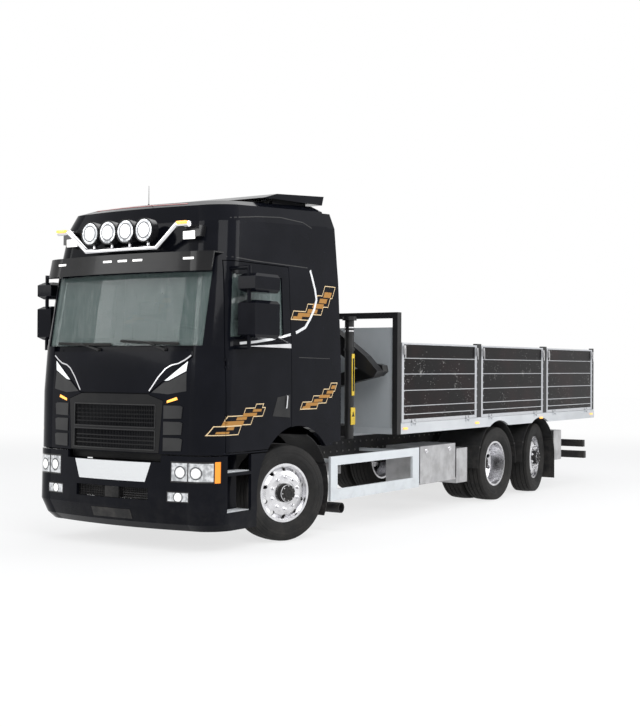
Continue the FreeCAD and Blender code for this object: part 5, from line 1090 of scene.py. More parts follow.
def bolt(name: str, radius: float, height: float, sides: int = 6, stud: float = 0.0) -> Draft:
    """Draw a bolt head or a rivet that stands on its origin.

    Args:
        name: the name of the pieces made from it.
        radius: the head's radius.
        height: the head's height.
        sides: six for a nut, more for a rivet.
        stud: how far a stud stands out of it.

    Returns:
        The part.
    """
    head = [(-0.002, radius), (height * 0.75, radius), (height, radius * 0.78)]
    made = Draft(name).lathe(Axis.Z, (0.0, 0.0, 0.0), head, sides)
    if stud > 0:
        made.lathe(Axis.Z, (0.0, 0.0, 0.0), [(height * 0.5, radius * 0.5), (height + stud, radius * 0.5)], 8)
    return made


@dataclass(frozen=True)
class Wheel:
    """One wheel's place and how its outboard axis points."""

    corner: str
    centre: Point
    turn: float
    face: float = 0.12
    hub: float = 0.178
    hub_foot: float = 0.112
    twins: tuple[float, ...] = (0.0,)


@dataclass
class WheelDress:
    """Grooved tyres, nuts and hub covers."""

    repeat: Repeat
    wheels: tuple[Wheel, ...] = (
        Wheel("front_left", (1.0394, -3.4155, 0.507), -18.0),
        Wheel("front_right", (-1.0394, -3.3445, 0.507), 162.0),
        Wheel("tag_left", (1.0434, 2.744, 0.507), 9.5),
        Wheel("tag_right", (-1.0434, 2.706, 0.507), 189.5),
        Wheel("drive_left", (0.915, 1.370, 0.507), 0.0, 0.015, 0.140, 0.045, (-0.175, 0.175)),
        Wheel("drive_right", (-0.915, 1.370, 0.507), 180.0, 0.015, 0.140, 0.045, (-0.175, 0.175)),
    )
    sidewall: Flat = ((0.104, 0.2985), (0.118, 0.312), (0.133, 0.334), (0.1490, 0.360), (0.1505, 0.372),
                      (0.1535, 0.374), (0.1555, 0.388), (0.157, 0.402), (0.1545, 0.412), (0.156, 0.416),
                      (0.1555, 0.436), (0.1525, 0.440), (0.151, 0.452), (0.150, 0.462), (0.1475, 0.464),
                      (0.1405, 0.490), (0.132, 0.4985))
    tread: float = 0.507
    tread_half: float = 0.132
    crown: float = 0.0085
    groove_depth: float = 0.013
    groove_half: float = 0.0055
    grooves: Spot = (0.092, 0.032)
    nut_circle: float = 0.1675
    nut_start: float = 0.3
    nuts: int = 10
    hub_bolts: int = 8
    hub_radius: float = 0.0955
    hub_steps: tuple[Point, ...] = ((-0.012, 1.0, 0.0), (0.003, 1.0, -0.010), (0.0035, 0.62, 0.0), (0.010, 0.56, 0.0),
                                    (0.012, 0.42, 0.0), (0.006, 0.36, 0.0), (0.006, 0.0, 0.0))

    def build(self) -> None:
        """Dress every wheel."""
        for wheel in self.wheels:
            self._tyre(wheel)
            self._nuts(wheel)
            self._hub(wheel)

    def _half(self) -> list[Spot]:
        """The tyre's outline from its bead to the tread's middle, on its outer half."""
        outline = list(self.sidewall)
        wide, narrow = self.groove_half, self.groove_half * 0.6
        for groove in self.grooves:
            top = self.tread - self.crown * (groove / self.tread_half) ** 2
            floor = top - self.groove_depth
            outline += [(groove + wide, top), (groove + narrow, floor), (groove - narrow, floor), (groove - wide, top)]
        return outline + [(0.0, self.tread)]

    def _tyre(self, wheel: Wheel) -> None:
        """Spin the tyre, or the twins."""
        half = self._half()
        outline = half + [(-run, radius) for run, radius in reversed(half[:-1])]
        made = Draft(f"grooved_tyre_{wheel.corner}")
        for middle in wheel.twins:
            made.lathe(Axis.X, (middle, 0.0, 0.0), outline, 96, True)
        tyre = made.turned(wheel.turn, wheel.centre).finish(Look.RUBBER, f"{wheel.corner}_wheel", "tyre_rubber", 28.0)
        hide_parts(f"tyre_{wheel.corner}")

    def _circle(self, wheel: Wheel, count: int, radius: float, face: float, start: float = 0.0) -> Places:
        """Places on a circle about the wheel's axis, heading outboard."""
        turn = Matrix.Rotation(math.radians(wheel.turn), 3, "Z")
        places = []
        for step in range(count):
            angle = start + math.tau * step / count
            local = Vector((face, radius * math.cos(angle), radius * math.sin(angle)))
            places.append((Vector(wheel.centre) + turn @ local, turn @ Vector((1.0, 0.0, 0.0))))
        return places

    def _nuts(self, wheel: Wheel) -> None:
        """Wheel nuts with their studs, and the hub's own bolts."""
        body = f"{wheel.corner}_wheel"
        places = self._circle(wheel, self.nuts, self.nut_circle, wheel.face, self.nut_start)
        nut = bolt(f"wheel_nuts_{wheel.corner}", 0.019, 0.021, 6, 0.010)
        self.repeat.place(nut, places, Look.BRIGHT, body, "bright_steel")
        places = self._circle(wheel, self.hub_bolts, self.hub_radius * 0.80, wheel.hub + 0.0035)
        head = bolt(f"hub_bolts_{wheel.corner}", 0.008, 0.007)
        self.repeat.place(head, places, Look.STAINLESS, body, "bright_steel")

    def _hub(self, wheel: Wheel) -> None:
        """A dark cover over the hub with a stepped face."""
        outline = [(wheel.hub_foot, self.hub_radius + 0.004)]
        outline += [(wheel.hub + run, self.hub_radius * share + more) for run, share, more in self.hub_steps]
        made = Draft(f"hub_cover_{wheel.corner}").lathe(Axis.X, (0.0, 0.0, 0.0), outline, 40)
        made.turned(wheel.turn, wheel.centre).finish(Look.GRAINED, f"{wheel.corner}_wheel", "wheel_alloy")


@dataclass
class NoseDress:
    """What shows on the cab's nose: mesh, bright lines, lamps, wipers."""

    repeat: Repeat
    slots: Flat = ((1.012, 1.188), (1.232, 1.440))
    slot_half: float = 0.545
    slot_rim: float = 0.008
    slot_overlap: float = 0.003
    rim_width: float = 0.009
    mesh_level: float = 1.21
    mesh_behind: float = 0.014
    mesh_slats: int = 53
    mesh_half: float = 0.0022
    low_slot: Spot = (0.505, 0.635)
    low_rails: tuple[float, ...] = (0.523, 0.546, 0.569, 0.592, 0.615)
    low_behind: float = 0.035
    low_half: float = 0.5
    low_slats: int = 41
    low_mesh_half: float = 0.0025
    low_rail_radius: float = 0.0035
    bumper_level: float = 0.655
    lid_line_width: float = 0.013
    lid_line: Flat = ((0.474, 1.584), (0.575, 1.722), (0.655, 1.806), (0.720, 1.842), (0.800, 1.858), (0.875, 1.895),
                      (0.938, 1.938))
    day_lamp: Flat = ((0.650, 1.687), (0.905, 1.879), (0.892, 1.785), (0.700, 1.692))
    intake: Flat = ((0.505, 1.572), (0.645, 1.672), (0.700, 1.682), (0.895, 1.772), (0.905, 1.590), (0.700, 1.556))
    rib: Flat = ((0.656, 0.0), (0.860, 0.006), (0.872, 0.118), (0.840, 0.130), (0.656, 0.130))
    rib_rows: tuple[float, ...] = (1.000, 1.158, 1.316)
    indicator: Flat = ((-0.812, 1.505), (-0.690, 1.470), (-0.690, 1.494), (-0.800, 1.530))
    visor_lamps: tuple[float, ...] = (-0.870, -0.144, 0.065, 0.263, 0.870)
    visor_half: float = 0.06
    visor_levels: Spot = (2.880, 2.900)
    spots: tuple[float, ...] = (-0.371, -0.122, 0.122, 0.371)
    spot_place: Spot = (-4.781, 3.186)
    spot_glass: Flat = ((0.004, 0.112), (-0.001, 0.110), (-0.004, 0.070), (-0.0055, 0.0))
    spot_rim: Flat = ((0.010, 0.1225), (-0.006, 0.1225), (-0.008, 0.118), (-0.006, 0.110), (0.010, 0.110))
    corner_lamps: tuple[tuple[str, Look, float, float, Spot, Spot, float], ...] = (
        ("roof_corner_lamps", Look.WHITE_LAMP, 0.810, 0.075, (-4.611, 3.088), (-4.598, 3.168), 0.005),
        ("amber_corner_lamps", Look.AMBER_LAMP, 0.830, 0.065, (-4.755, 3.222), (-4.705, 3.254), 0.012))
    aerial: Spot = (-0.10, -4.20)
    aerial_foot: Flat = ((-0.02, 0.022), (0.015, 0.016), (0.03, 0.0035))
    aerial_tip: Spot = (3.735, 0.0022)
    roof_line: Flat = ((-0.731, 3.494), (0.593, 3.477))
    wipers: tuple[tuple[Flat, Spot], ...] = (
        (((-0.894, 2.062), (-0.50, 2.050), (-0.065, 2.046)), (-0.25, 1.995)),
        (((0.063, 2.080), (0.42, 2.062), (0.785, 2.052)), (0.62, 1.995)))
    wiper_knob: Flat = ((-0.036, 0.0), (-0.036, 0.012), (-0.018, 0.020), (0.004, 0.022))
    # Dark blocks in the shadow gap under the cab's nose and behind the bumper's mesh: painted shade, standing in for
    # the shade in those gaps.
    fillers: tuple[Point, ...] = ((0.66, 0.890, 0.970), (0.50, 0.500, 0.640))
    filler_depth: Spot = (-4.712, -4.700)
    plate_holder: tuple[Spot, Spot] = ((-0.265, 0.312), (0.265, 0.408))
    cover_place: float = 0.02
    cover: tuple[Point, Point] = ((-0.075, 0.004, 0.512), (0.115, 0.05, 0.628))

    def build(self) -> None:
        """Dress the nose."""
        self.panel, self.lid, self.shell = Probe("grille_panel"), Probe("front_lid"), Probe("cab_shell")
        self.bumper = Probe("front_bumper")
        self._mesh()
        self._lid()
        self._lamps()
        self._roof()
        self._wipers()
        self._bumper()

    def _behind(self, probe: Probe, half: float, count: int, level: float, depth: float) -> list[Vector]:
        """Points in a row across the nose, some way behind a surface at one level."""
        row = spread(-half, half, count)
        return [Vector((across, probe.hit(View.FRONT, across, level)[0].y + depth, level)) for across in row]

    def _slats(self, name: str, body: str, row: Sequence[Vector], half: float, low: float, high: float) -> None:
        """Upright slats at every point of a row, between two heights."""
        slat = Draft(name).block((-half, -0.003, 0.0), (half, 0.003, high - low))
        places = [(Vector((spot.x, spot.y, low)), UP) for spot in row]
        self.repeat.place(slat, places, Look.GLOSS_BLACK, body, "gloss_black_plastic")

    def _mesh(self) -> None:
        """Fine mesh in the grille's slots and in the bumper's."""
        row = self._behind(self.panel, self.slot_half, self.mesh_slats, self.mesh_level, self.mesh_behind)
        for number, (low, high) in enumerate(self.slots):
            ends = (low - self.slot_overlap, high + self.slot_overlap)
            self._slats(f"grille_mesh_{number}", "cab", row, self.mesh_half, *ends)
        rims = Draft("grille_rims")
        half, rim = self.slot_half + self.slot_rim, self.slot_rim
        for low, high in self.slots:
            corners = bar((-half, low - rim), (half, high + rim))
            sides = [band(ends, self.rim_width) for ends in zip(corners, corners[1:] + corners[:1])]
            rims.lay(self.panel, View.FRONT, sides, 0.004)
        rims.finish(Look.DARK_TRIM, "cab", "gloss_black_plastic")
        row = self._behind(self.bumper, self.low_half, self.low_slats, self.bumper_level, self.low_behind)
        self._slats("bumper_mesh", "chassis", row, self.low_mesh_half, *self.low_slot)
        rails = Draft("bumper_mesh_rails")
        for height in self.low_rails:
            rails.tube([(spot.x, spot.y, height) for spot in row[::2]], self.low_rail_radius, 6)
        rails.finish(Look.GLOSS_BLACK, "chassis", "gloss_black_plastic")

    def _lid(self) -> None:
        """The bright lines, day lamps and intakes beside the front lid, the nose's ribs and indicators."""
        ribs = [[(across, low + up) for across, up in self.rib] for low in self.rib_rows]
        lines = [band(line, self.lid_line_width) for line in both(self.lid_line)]
        for name, probe, outlines, rise, sink, look, body, slot in (
            ("lid_bright_lines", self.lid, lines, 0.004, 0.003, Look.BRIGHT, "lid", "bright_steel"),
            ("day_lamps", self.shell, both(self.day_lamp), 0.004, 0.003, Look.DAY_LAMP, "cab", "lamp_glass"),
            ("nose_intakes", self.shell, both(self.intake), 0.001, 0.003, Look.DARK_TRIM, "cab", "gloss_black_plastic"),
            ("nose_side_ribs", self.shell, both(*ribs), 0.009, 0.002, Look.DARK_TRIM, "cab", "gloss_black_plastic"),
            ("side_indicators", self.shell, both(self.indicator), 0.004, 0.003, Look.AMBER_LAMP, "cab", "lamp_glass"),
        ):
            Draft(name).lay(probe, View.FRONT, outlines, rise, sink).finish(look, body, slot)

    def _lamps(self) -> None:
        """The visor's lamps, the spots and the roof's corner lamps."""
        half, (low, high) = self.visor_half, self.visor_levels
        lamps = [bar((middle - half, low), (middle + half, high)) for middle in self.visor_lamps]
        visor = Draft("visor_lamps").lay(Probe("sun_visor"), View.FRONT, lamps, 0.004)
        visor.finish(Look.WHITE_LAMP, "cab", "lamp_glass")
        glass, rims = Draft("spot_glasses"), Draft("spot_rims")
        for middle in self.spots:
            centre = (middle, *self.spot_place)
            glass.lathe(Axis.Y, centre, self.spot_glass, 40)
            rims.lathe(Axis.Y, centre, self.spot_rim, 40, True)
        glass.finish(Look.SPOT_FACE, "cab", "lamp_glass")
        rims.finish(Look.GLOSS_BLACK, "cab", "gloss_black_plastic")
        for name, look, across, half, low, high, edge in self.corner_lamps:
            lamps = Draft(name)
            for side in Side:
                middle = side.value * across
                lamps.block((middle - half, *low), (middle + half, *high), edge)
            lamps.finish(look, "cab", "lamp_glass")

    def _roof(self) -> None:
        """The aerial and the red line along the roof's front edge."""
        foot = self.shell.hit(View.TOP, *self.aerial)[0].z
        outline = [(foot + rise, radius) for rise, radius in self.aerial_foot] + [self.aerial_tip]
        aerial = Draft("roof_aerial").lathe(Axis.Z, (*self.aerial, 0.0), outline, 12)
        aerial.finish(Look.GRAINED, "cab", "black_plastic")
        line = Draft("roof_edge_line").lay(self.shell, View.FRONT, [band(self.roof_line, 0.010)], 0.003)
        line.finish(Look.RED_LAMP, "cab", "cab_paint")

    def _wipers(self) -> None:
        """Two blades low on the windscreen with their arms."""
        screen = Probe("windscreen", "cab_shell", "front_lid")
        blades, arms = Draft("wiper_blades"), Draft("wiper_arms")
        for path, pivot in self.wipers:
            blades.lay(screen, View.FRONT, [band(path, 0.012)], 0.016, -0.0008, 0.04)
            blades.lay(screen, View.FRONT, [band(path, 0.024)], 0.020, -0.013, 0.04)
            middle = path[1]
            arm = [pivot, (pivot[0] + (middle[0] - pivot[0]) * 0.5, 2.025), middle]
            arms.lay(screen, View.FRONT, [band(arm, 0.018)], 0.034, -0.020, 0.04)
            arms.lathe(Axis.Y, screen.hit(View.FRONT, *pivot)[0], self.wiper_knob, 16)
        blades.finish(Look.RUBBER, "cab", "black_plastic")
        arms.finish(Look.GRAINED, "cab", "black_plastic")

    def _bumper(self) -> None:
        """The blank number-plate holder, the sensor's cover and dark blocks that fill the gaps behind as painted shade.
        """
        holder = Draft("blank_plate_holder")
        holder.lay(self.bumper, View.FRONT, [bar(*self.plate_holder)], 0.005)
        holder.finish(Look.GRAINED, "chassis", "black_plastic")
        face = self.bumper.hit(View.FRONT, self.cover_place, self.bumper_level)[0].y
        low, high = ((across, face + depth, level) for across, depth, level in self.cover)
        cover = Draft("sensor_cover").block(low, high, 0.008)
        cover.finish(Look.GLOSS_BLACK, "chassis", "gloss_black_plastic")
        # Painted shade: dark blocks set where only the shade of the gaps shows.
        shade_block = Draft("nose_gap_filler")
        for half, low, high in self.fillers:
            shade_block.block((-half, self.filler_depth[0], low), (half, self.filler_depth[1], high), 0.003)
        shade_block.finish(Look.GRAINED, "chassis", "black_plastic")


@dataclass
class SideDress:
    """What shows on the cab's sides and back: window line, handles, mirrors, seams, ribs, steps."""

    repeat: Repeat
    door_line: Flat = ((-4.33, 2.062), (-4.10, 2.078), (-3.833, 2.109), (-3.60, 2.146), (-3.47, 2.170))
    shell_line: Flat = ((-3.38, 2.190), (-3.209, 2.251), (-3.111, 2.348), (-3.03, 2.450), (-2.982, 2.556),
                        (-3.000, 2.660), (-3.040, 2.769), (-3.074, 2.870))
    recess: Flat = ((-3.716, 1.515), (-3.499, 1.542), (-3.494, 1.302), (-3.797, 1.325))
    handle: Flat = ((-3.577, 1.405), (-3.562, 1.528))
    handle_feet: tuple[Flat, Flat] = (((-3.579, 1.400), (-3.577, 1.412)), ((-3.564, 1.520), (-3.561, 1.532)))
    upper_seam: Flat = ((-4.331, 3.311), (-3.900, 3.365), (-3.521, 3.398), (-3.136, 3.384), (-2.990, 3.335))
    creases: tuple[Flat, Flat] = (((-4.430, 2.916), (-4.033, 2.900), (-3.117, 2.894)),
                                  ((-3.330, 1.930), (-3.050, 1.926), (-2.760, 1.922)))
    mirrors: tuple[tuple[Spot, Spot], ...] = (((1.335, 2.030), (1.480, 2.430)), ((1.335, 2.590), (1.480, 2.710)))
    back_ribs: int = 9
    back_half: float = 0.84
    rib_half: float = 0.030
    rib_span: Spot = (1.50, 2.95)
    step_heights: Spot = (0.4015, 0.7915)
    treads: int = 6
    tread: tuple[Point, Point] = ((-0.006, -0.175, 0.0), (0.006, 0.175, 0.010))
    tread_place: Spot = (1.085, -4.325)
    tread_pitch: float = 0.026

    def build(self) -> None:
        """Dress both sides and the back."""
        self.shell = Probe("cab_shell")
        for side in Side:
            self._side(side)
            self._steps(side)
        self._back()

    def _side(self, side: Side) -> None:
        """One side's lines, handle, mirror glasses and seams."""
        label, view, door = side.label, side.view, Probe(f"door_{side.label}")
        leaf = f"{label}_door"
        # Both window lines wear the pale trim whose colour is a painted reflection of the white studio.
        line = Draft(f"door_window_line_{label}").lay(door, view, [band(self.door_line, 0.026)], 0.004, pitch=0.06)
        line.finish(Look.WHITE_TRIM, leaf, "bright_steel")
        line = Draft(f"cab_window_line_{label}")
        line.lay(self.shell, view, [band(self.shell_line, 0.030)], 0.004, pitch=0.04)
        line.finish(Look.WHITE_TRIM, "cab", "bright_steel")
        recess = Draft(f"door_handle_plate_{label}").lay(door, view, [self.recess], 0.0025)
        recess.finish(Look.GRAINED, leaf, "black_plastic")
        handle = Draft(f"door_handle_{label}").lay(door, view, [band(self.handle, 0.016)], 0.020, -0.012, 0.03)
        handle.lay(door, view, [band(foot, 0.018) for foot in self.handle_feet], 0.016)
        handle.finish(Look.BRIGHT, leaf, "bright_steel")
        turn = list if side is Side.LEFT else mirror
        panes = [turn(bar(low, high)) for low, high in self.mirrors]
        glass = Draft(f"mirror_glasses_{label}").lay(door, View.REAR, panes, 0.0025, 0.002)
        glass.finish(Look.BRIGHT, leaf, "bright_steel")
        lines = [band(self.upper_seam, 0.010), *(band(crease, 0.008) for crease in self.creases)]
        seams = Draft(f"cab_seams_{label}").lay(self.shell, view, lines, 0.0012, pitch=0.06)
        seams.finish(Look.DARK_TRIM, "cab", "cab_paint")

    def _back(self) -> None:
        """Pressed ribs in the cab's rear wall."""
        half, (low, high) = self.rib_half, self.rib_span
        middles = spread(-self.back_half, self.back_half, self.back_ribs)
        outlines = [bar((across - half, low), (across + half, high)) for across in middles]
        ribs = Draft("cab_back_ribs").lay(self.shell, View.REAR, outlines, 0.010, pitch=0.2)
        ribs.finish(Look.PAINT, "cab", "cab_paint")

    def _steps(self, side: Side) -> None:
        """Ribbed treads in the two step pockets."""
        slat = Draft(f"step_treads_{side.label}").block(*self.tread, 0.002)
        first, run = self.tread_place
        places = [(Vector((side.value * (first + step * self.tread_pitch), run, height)), UP)
                  for height in self.step_heights for step in range(self.treads)]
        self.repeat.place(slat, places, Look.RAIL_METAL, "chassis", "light_aluminium")


@dataclass
class BedDress:
    """The bed's floor, its gates' rivets and latches, and its lamps."""

    repeat: Repeat
    gate_face: float = 1.293
    rivets_from: float = 1.275
    rivets_to: float = 2.088
    rivet_row: float = 2.112
    rivet_pitch: float = 0.22
    rivet_inset: float = 0.028
    rivet: tuple[float, float, int] = (0.0055, 0.003, 10)
    gate_rivets: int = 10
    tail_rivets: int = 22
    latch_half: float = 0.020
    latch_span: Spot = (1.985, 2.095)
    latch_bolt: tuple[float, float, float] = (0.016, 1.94, 2.06)
    floor_front: float = -1.26
    floor_rear: float = 4.785
    floor_half: float = 1.24
    planks: int = 17
    plank_gap: float = 0.0015
    plank_depth: Spot = (-0.002, 0.003)
    tail_half: float = 1.21
    tail_latch: float = 1.236
    marker_face: float = 1.275
    markers: tuple[float, ...] = (-1.19, 0.69, 2.75, 4.70)
    marker_half: float = 0.045
    marker_levels: Spot = (1.083, 1.107)
    lens_levels: Spot = (0.575, 0.655)
    rear_lenses: tuple[tuple[str, Flat, Look], ...] = (
        ("rear_red_lenses", ((0.775, 0.905), (1.045, 1.145)), Look.RED_LAMP),
        ("rear_amber_lenses", ((0.912, 0.975),), Look.AMBER_LENS),
        ("rear_white_lenses", ((0.982, 1.038),), Look.WHITE_PANEL))

    def build(self) -> None:
        """Dress the bed."""
        self._floor()
        for side in Side:
            for bay, ends in BAYS.items():
                self._gate(side, bay, *ends)
        self._tail()
        self._lamps()

    def _floor(self) -> None:
        """Planks over the whole bed."""
        top = Probe("platform").hit(View.TOP, 0.13, 1.0)[0].z
        floor = Draft("bed_floor_planks")
        edges = spread(-self.floor_half, self.floor_half, self.planks + 1)
        for left, right in zip(edges, edges[1:]):
            floor.block((left + self.plank_gap, self.floor_front, top + self.plank_depth[0]),
                        (right - self.plank_gap, self.floor_rear, top + self.plank_depth[1]), 0.0008)
        floor.finish(Look.FLOOR_BOARD, "chassis", "gate_board")

    def _gate(self, side: Side, bay: str, start: float, end: float) -> None:
        """A side gate's rivets and its two latches."""
        body, face = f"{side.label}_gate_{bay}", side.value * self.gate_face
        posts = (start + self.rivet_inset, end - self.rivet_inset)
        levels = spread(self.rivets_from, self.rivets_to, self.gate_rivets)
        spots = [(run, height) for height in levels for run in posts]
        along = spread(start, end, int((end - start) / self.rivet_pitch) + 1)[1:-1]
        spots += [(run, self.rivet_row) for run in along]
        out = Vector((float(side.value), 0.0, 0.0))
        places = [(Vector((face, run, height)), out) for run, height in spots]
        rivet = bolt(f"gate_rivets_{side.label}_{bay}", *self.rivet)
        self.repeat.place(rivet, places, Look.RAIL_METAL, body, "light_aluminium")
        latch = Draft(f"gate_latches_{side.label}_{bay}")
        low, high = side.span(self.gate_face, -0.002, 0.012)
        (out_by, foot, tip), half = self.latch_bolt, self.latch_half
        across = face + side.value * out_by
        for run in posts:
            latch.block((low, run - half, self.latch_span[0]), (high, run + half, self.latch_span[1]), 0.004)
            latch.rod((across, run, foot), (across, run, tip), 0.0065, 10)
        latch.finish(Look.STAINLESS, body, "stainless")

    def _tail(self) -> None:
        """The tailgate's rivets and latches."""
        probe, out = Probe("tailgate"), Vector((0.0, 1.0, 0.0))
        row = spread(-self.tail_half, self.tail_half, self.tail_rivets)
        places = [(probe.hit(View.REAR, across, self.rivet_row)[0], out) for across in row]
        rivet = bolt("tailgate_rivets", *self.rivet)
        self.repeat.place(rivet, places, Look.RAIL_METAL, "tail_gate", "light_aluminium")
        latch = Draft("tailgate_latches")
        for across in (-self.tail_latch, self.tail_latch):
            face = probe.hit(View.REAR, across, 2.04)[0].y
            latch.block((across - self.latch_half, face - 0.002, self.latch_span[0]),
                        (across + self.latch_half, face + 0.010, self.latch_span[1]), 0.004)
        latch.finish(Look.STAINLESS, "tail_gate", "stainless")

    def _lamps(self) -> None:
        """Amber markers along the rails and the three-part rear lamps."""
        markers = Draft("side_marker_lamps")
        for side in Side:
            low, high = side.span(self.marker_face, -0.003, 0.012)
            for run in self.markers:
                markers.block((low, run - self.marker_half, self.marker_levels[0]),
                              (high, run + self.marker_half, self.marker_levels[1]), 0.004)
        markers.finish(Look.AMBER_LAMP, "chassis", "lamp_glass")
        beam, (foot, top) = Probe("rear_underrun"), self.lens_levels
        for name, cells, look in self.rear_lenses:
            lens = Draft(name)
            for low, high in cells:
                lens.lay(beam, View.REAR, both(bar((low, foot), (high, top))), 0.010)
            lens.finish(look, "chassis", "lamp_glass")


@dataclass
class ChassisDress:
    """Tank bands and cap, frame bolts and box locks."""

    repeat: Repeat
    tank_axis: Spot = (-0.860, 0.700)
    tank_radius: float = 0.290
    tank_bands: Spot = (-2.400, -2.000)
    band_rise: Spot = (-0.002, 0.004)
    band_width: float = 0.045
    tank_cap: float = -2.280
    cap_share: float = 0.74
    cap_outline: Flat = ((-0.032, 0.0), (-0.032, 0.040), (-0.026, 0.046), (0.020, 0.046), (0.020, 0.036),
                         (0.060, 0.036))
    bolt_run: Spot = (-2.9, 4.525)
    bolt_pairs: int = 56
    bolt_heights: Spot = (0.80, 0.90)
    rail_face: Spot = (0.38, 0.50)
    lock_runs: Spot = (-0.62, -0.02)
    lock_height: float = 0.79
    lock_plate: Flat = ((-0.003, 0.030), (0.006, 0.030), (0.008, 0.026), (0.008, 0.0))
    lock_half: float = 0.022
    lock_levels: Spot = (0.783, 0.797)
    lock_rise: Spot = (0.006, 0.020)

    def build(self) -> None:
        """Dress the frame."""
        self._tank()
        self._bolts()
        self._locks()

    def _tank(self) -> None:
        """Two bands round the tank and a cap on its shoulder."""
        across, height = self.tank_axis
        made, radius = Draft("tank_bands"), self.tank_radius
        for run in self.tank_bands:
            inner, outer = (radius + rise for rise in self.band_rise)
            made.ring(Axis.Y, (across, run, height), inner, outer, self.band_width, 48)
        made.finish(Look.STAINLESS, "chassis", "stainless")
        shoulder = radius * self.cap_share
        cap = Draft("tank_cap")
        cap.lathe(Axis.X, (across - shoulder, self.tank_cap, height + shoulder), self.cap_outline, 32)
        cap.finish(Look.GRAINED, "chassis", "black_plastic")

    def _bolts(self) -> None:
        """Bolt heads in pairs along the frame's rails, where the rail's web shows."""
        rails, places = Probe("chassis_frame"), []
        for side in Side:
            for run in spread(*self.bolt_run, self.bolt_pairs):
                for height in self.bolt_heights:
                    point, normal = rails.hit(side.view, run, height)
                    if abs(normal.x) > 0.99 and self.rail_face[0] < abs(point.x) < self.rail_face[1]:
                        places.append((point, normal))
        self.repeat.place(bolt("frame_bolts", 0.013, 0.010), places, Look.IRON, "chassis", "chassis_paint")

    def _locks(self) -> None:
        """Turn-locks on the toolboxes' doors."""
        for side in Side:
            out = side.value
            probe, locks = Probe(f"box_door_{side.label}"), Draft(f"box_locks_{side.label}")
            plate = [(rise * out, radius) for rise, radius in self.lock_plate]
            for run in self.lock_runs:
                point, _ = probe.hit(side.view, run, self.lock_height)
                low, high = side.span(abs(point.x), *self.lock_rise)
                locks.lathe(Axis.X, point, plate, 24)
                locks.block((low, run - self.lock_half, self.lock_levels[0]),
                            (high, run + self.lock_half, self.lock_levels[1]), 0.003)
            locks.finish(Look.BRIGHT, f"{side.label}_box_door", "bright_steel")


@dataclass
class CraneDress:
    """Blank labels and bright collars on the crane's left leg."""

    repeat: Repeat
    leg: Spot = (0.950, -1.929)
    labels: tuple[Point, ...] = ((0.027, 1.500, 1.985), (0.045, 1.160, 1.360))
    label_faces: Spot = (1.000, 1.009)
    mark_face: float = 1.004
    mark_depth: float = 0.0065
    mark: Point = (0.016, 1.550, 1.935)
    triangle: Flat = ((-0.026, 1.255), (0.026, 1.255), (0.0, 1.318))
    collars: Spot = (2.245, 2.285)
    collar: Point = (0.0542, 0.058, 0.014)

    def build(self) -> None:
        """Dress the crane's stabiliser leg."""
        run = self.leg[1]
        label = Draft("crane_blank_label")
        for half, low, high in self.labels:
            label.block((self.label_faces[0], run - half, low), (self.label_faces[1], run + half, high), 0.003)
        label.finish(Look.YELLOW, "left_stabiliser", "crane_paint")
        face, depth, (half, low, high) = self.mark_face, self.mark_depth, self.mark
        field = Draft("crane_label_field").block((face, run - half, low), (face + depth, run + half, high), 0.002)
        field.plate([(face, run + along, height) for along, height in self.triangle], Vector((depth, 0.0, 0.0)))
        field.finish(Look.GLOSS_BLACK, "left_stabiliser", "crane_paint")
        rings = Draft("crane_leg_rings")
        for low in self.collars:
            rings.ring(Axis.Z, (*self.leg, low), *self.collar, 32)
        rings.finish(Look.BRIGHT, "left_stabiliser", "rod_chrome")


@dataclass(frozen=True)
class Cushion:
    """One padded piece: its room, and how it swells."""

    name: str
    low: Point
    high: Point
    voxel: float = 0.011
    margin: float = 0.012
    edge: float = 0.028
    travel: float = 0.018
    pressure: float = 4.0
    frames: int = 20
    channels: tuple[float, ...] = (-0.15, 0.15)
    channel_depth: float = 0.006
    channel_width: float = 0.010
    face: Axis = Axis.Z

    def build(self) -> bpy.types.Object:
        """Shape, swell and sew the cushion.

        Returns:
            The finished piece.
        """
        draft = Draft(self.name)
        low = tuple(value + self.margin for value in self.low)
        high = tuple(value - self.margin for value in self.high)
        draft.block(low, high, self.edge)
        work = bpy.data.objects.new(f"{self.name}_work", draft.close())
        bpy.context.scene.collection.objects.link(work)
        grid = work.modifiers.new("grid", "REMESH")
        grid.mode, grid.voxel_size = "VOXEL", self.voxel
        work.data = evaluated(work)
        work.modifiers.clear()
        self._swell(work)
        smooth = work.modifiers.new("smooth", "SUBSURF")
        smooth.levels = smooth.render_levels = 1
        data = evaluated(work)
        bpy.data.objects.remove(work)
        self._sew(data)
        made = hang(self.name, data, Look.FABRIC, "cab", 60.0)
        return made

    def _swell(self, work: bpy.types.Object) -> None:
        """Blow the cover up from within, and cap how far each point goes."""
        start = [vertex.co.copy() for vertex in work.data.vertices]
        cloth = work.modifiers.new("swell", "CLOTH")
        cloth.settings.use_pressure = True
        cloth.settings.uniform_pressure_force = self.pressure
        cloth.settings.effector_weights.gravity = 0.0
        cloth.settings.quality = 4
        cloth.point_cache.frame_start, cloth.point_cache.frame_end = 1, self.frames
        scene = bpy.context.scene
        for step in range(1, self.frames + 1):
            scene.frame_set(step)
        swollen = evaluated(work)
        work.modifiers.clear()
        for vertex, before, after in zip(work.data.vertices, start, swollen.vertices):
            move = after.co - before
            if move.length > self.travel:
                move *= self.travel / move.length
            vertex.co = [min(max(value, low + 0.001), high - 0.001)
                         for value, low, high in zip(before + move, self.low, self.high)]
        scene.frame_set(1)

    def _sew(self, data: bpy.types.Mesh) -> None:
        """Press the sewn channels into the face that the sitter leans on."""
        thick = self.face.value
        across, middle = ((self.low[index] + self.high[index]) / 2 for index in (0, thick))
        side = 1.0 if self.face is Axis.Z else -1.0
        for vertex in data.vertices:
            if (vertex.co[thick] - middle) * side > 0:
                away = min(abs(vertex.co.x - across - channel) for channel in self.channels)
                vertex.co[thick] -= side * self.channel_depth * math.exp(-(away / self.channel_width) ** 2)


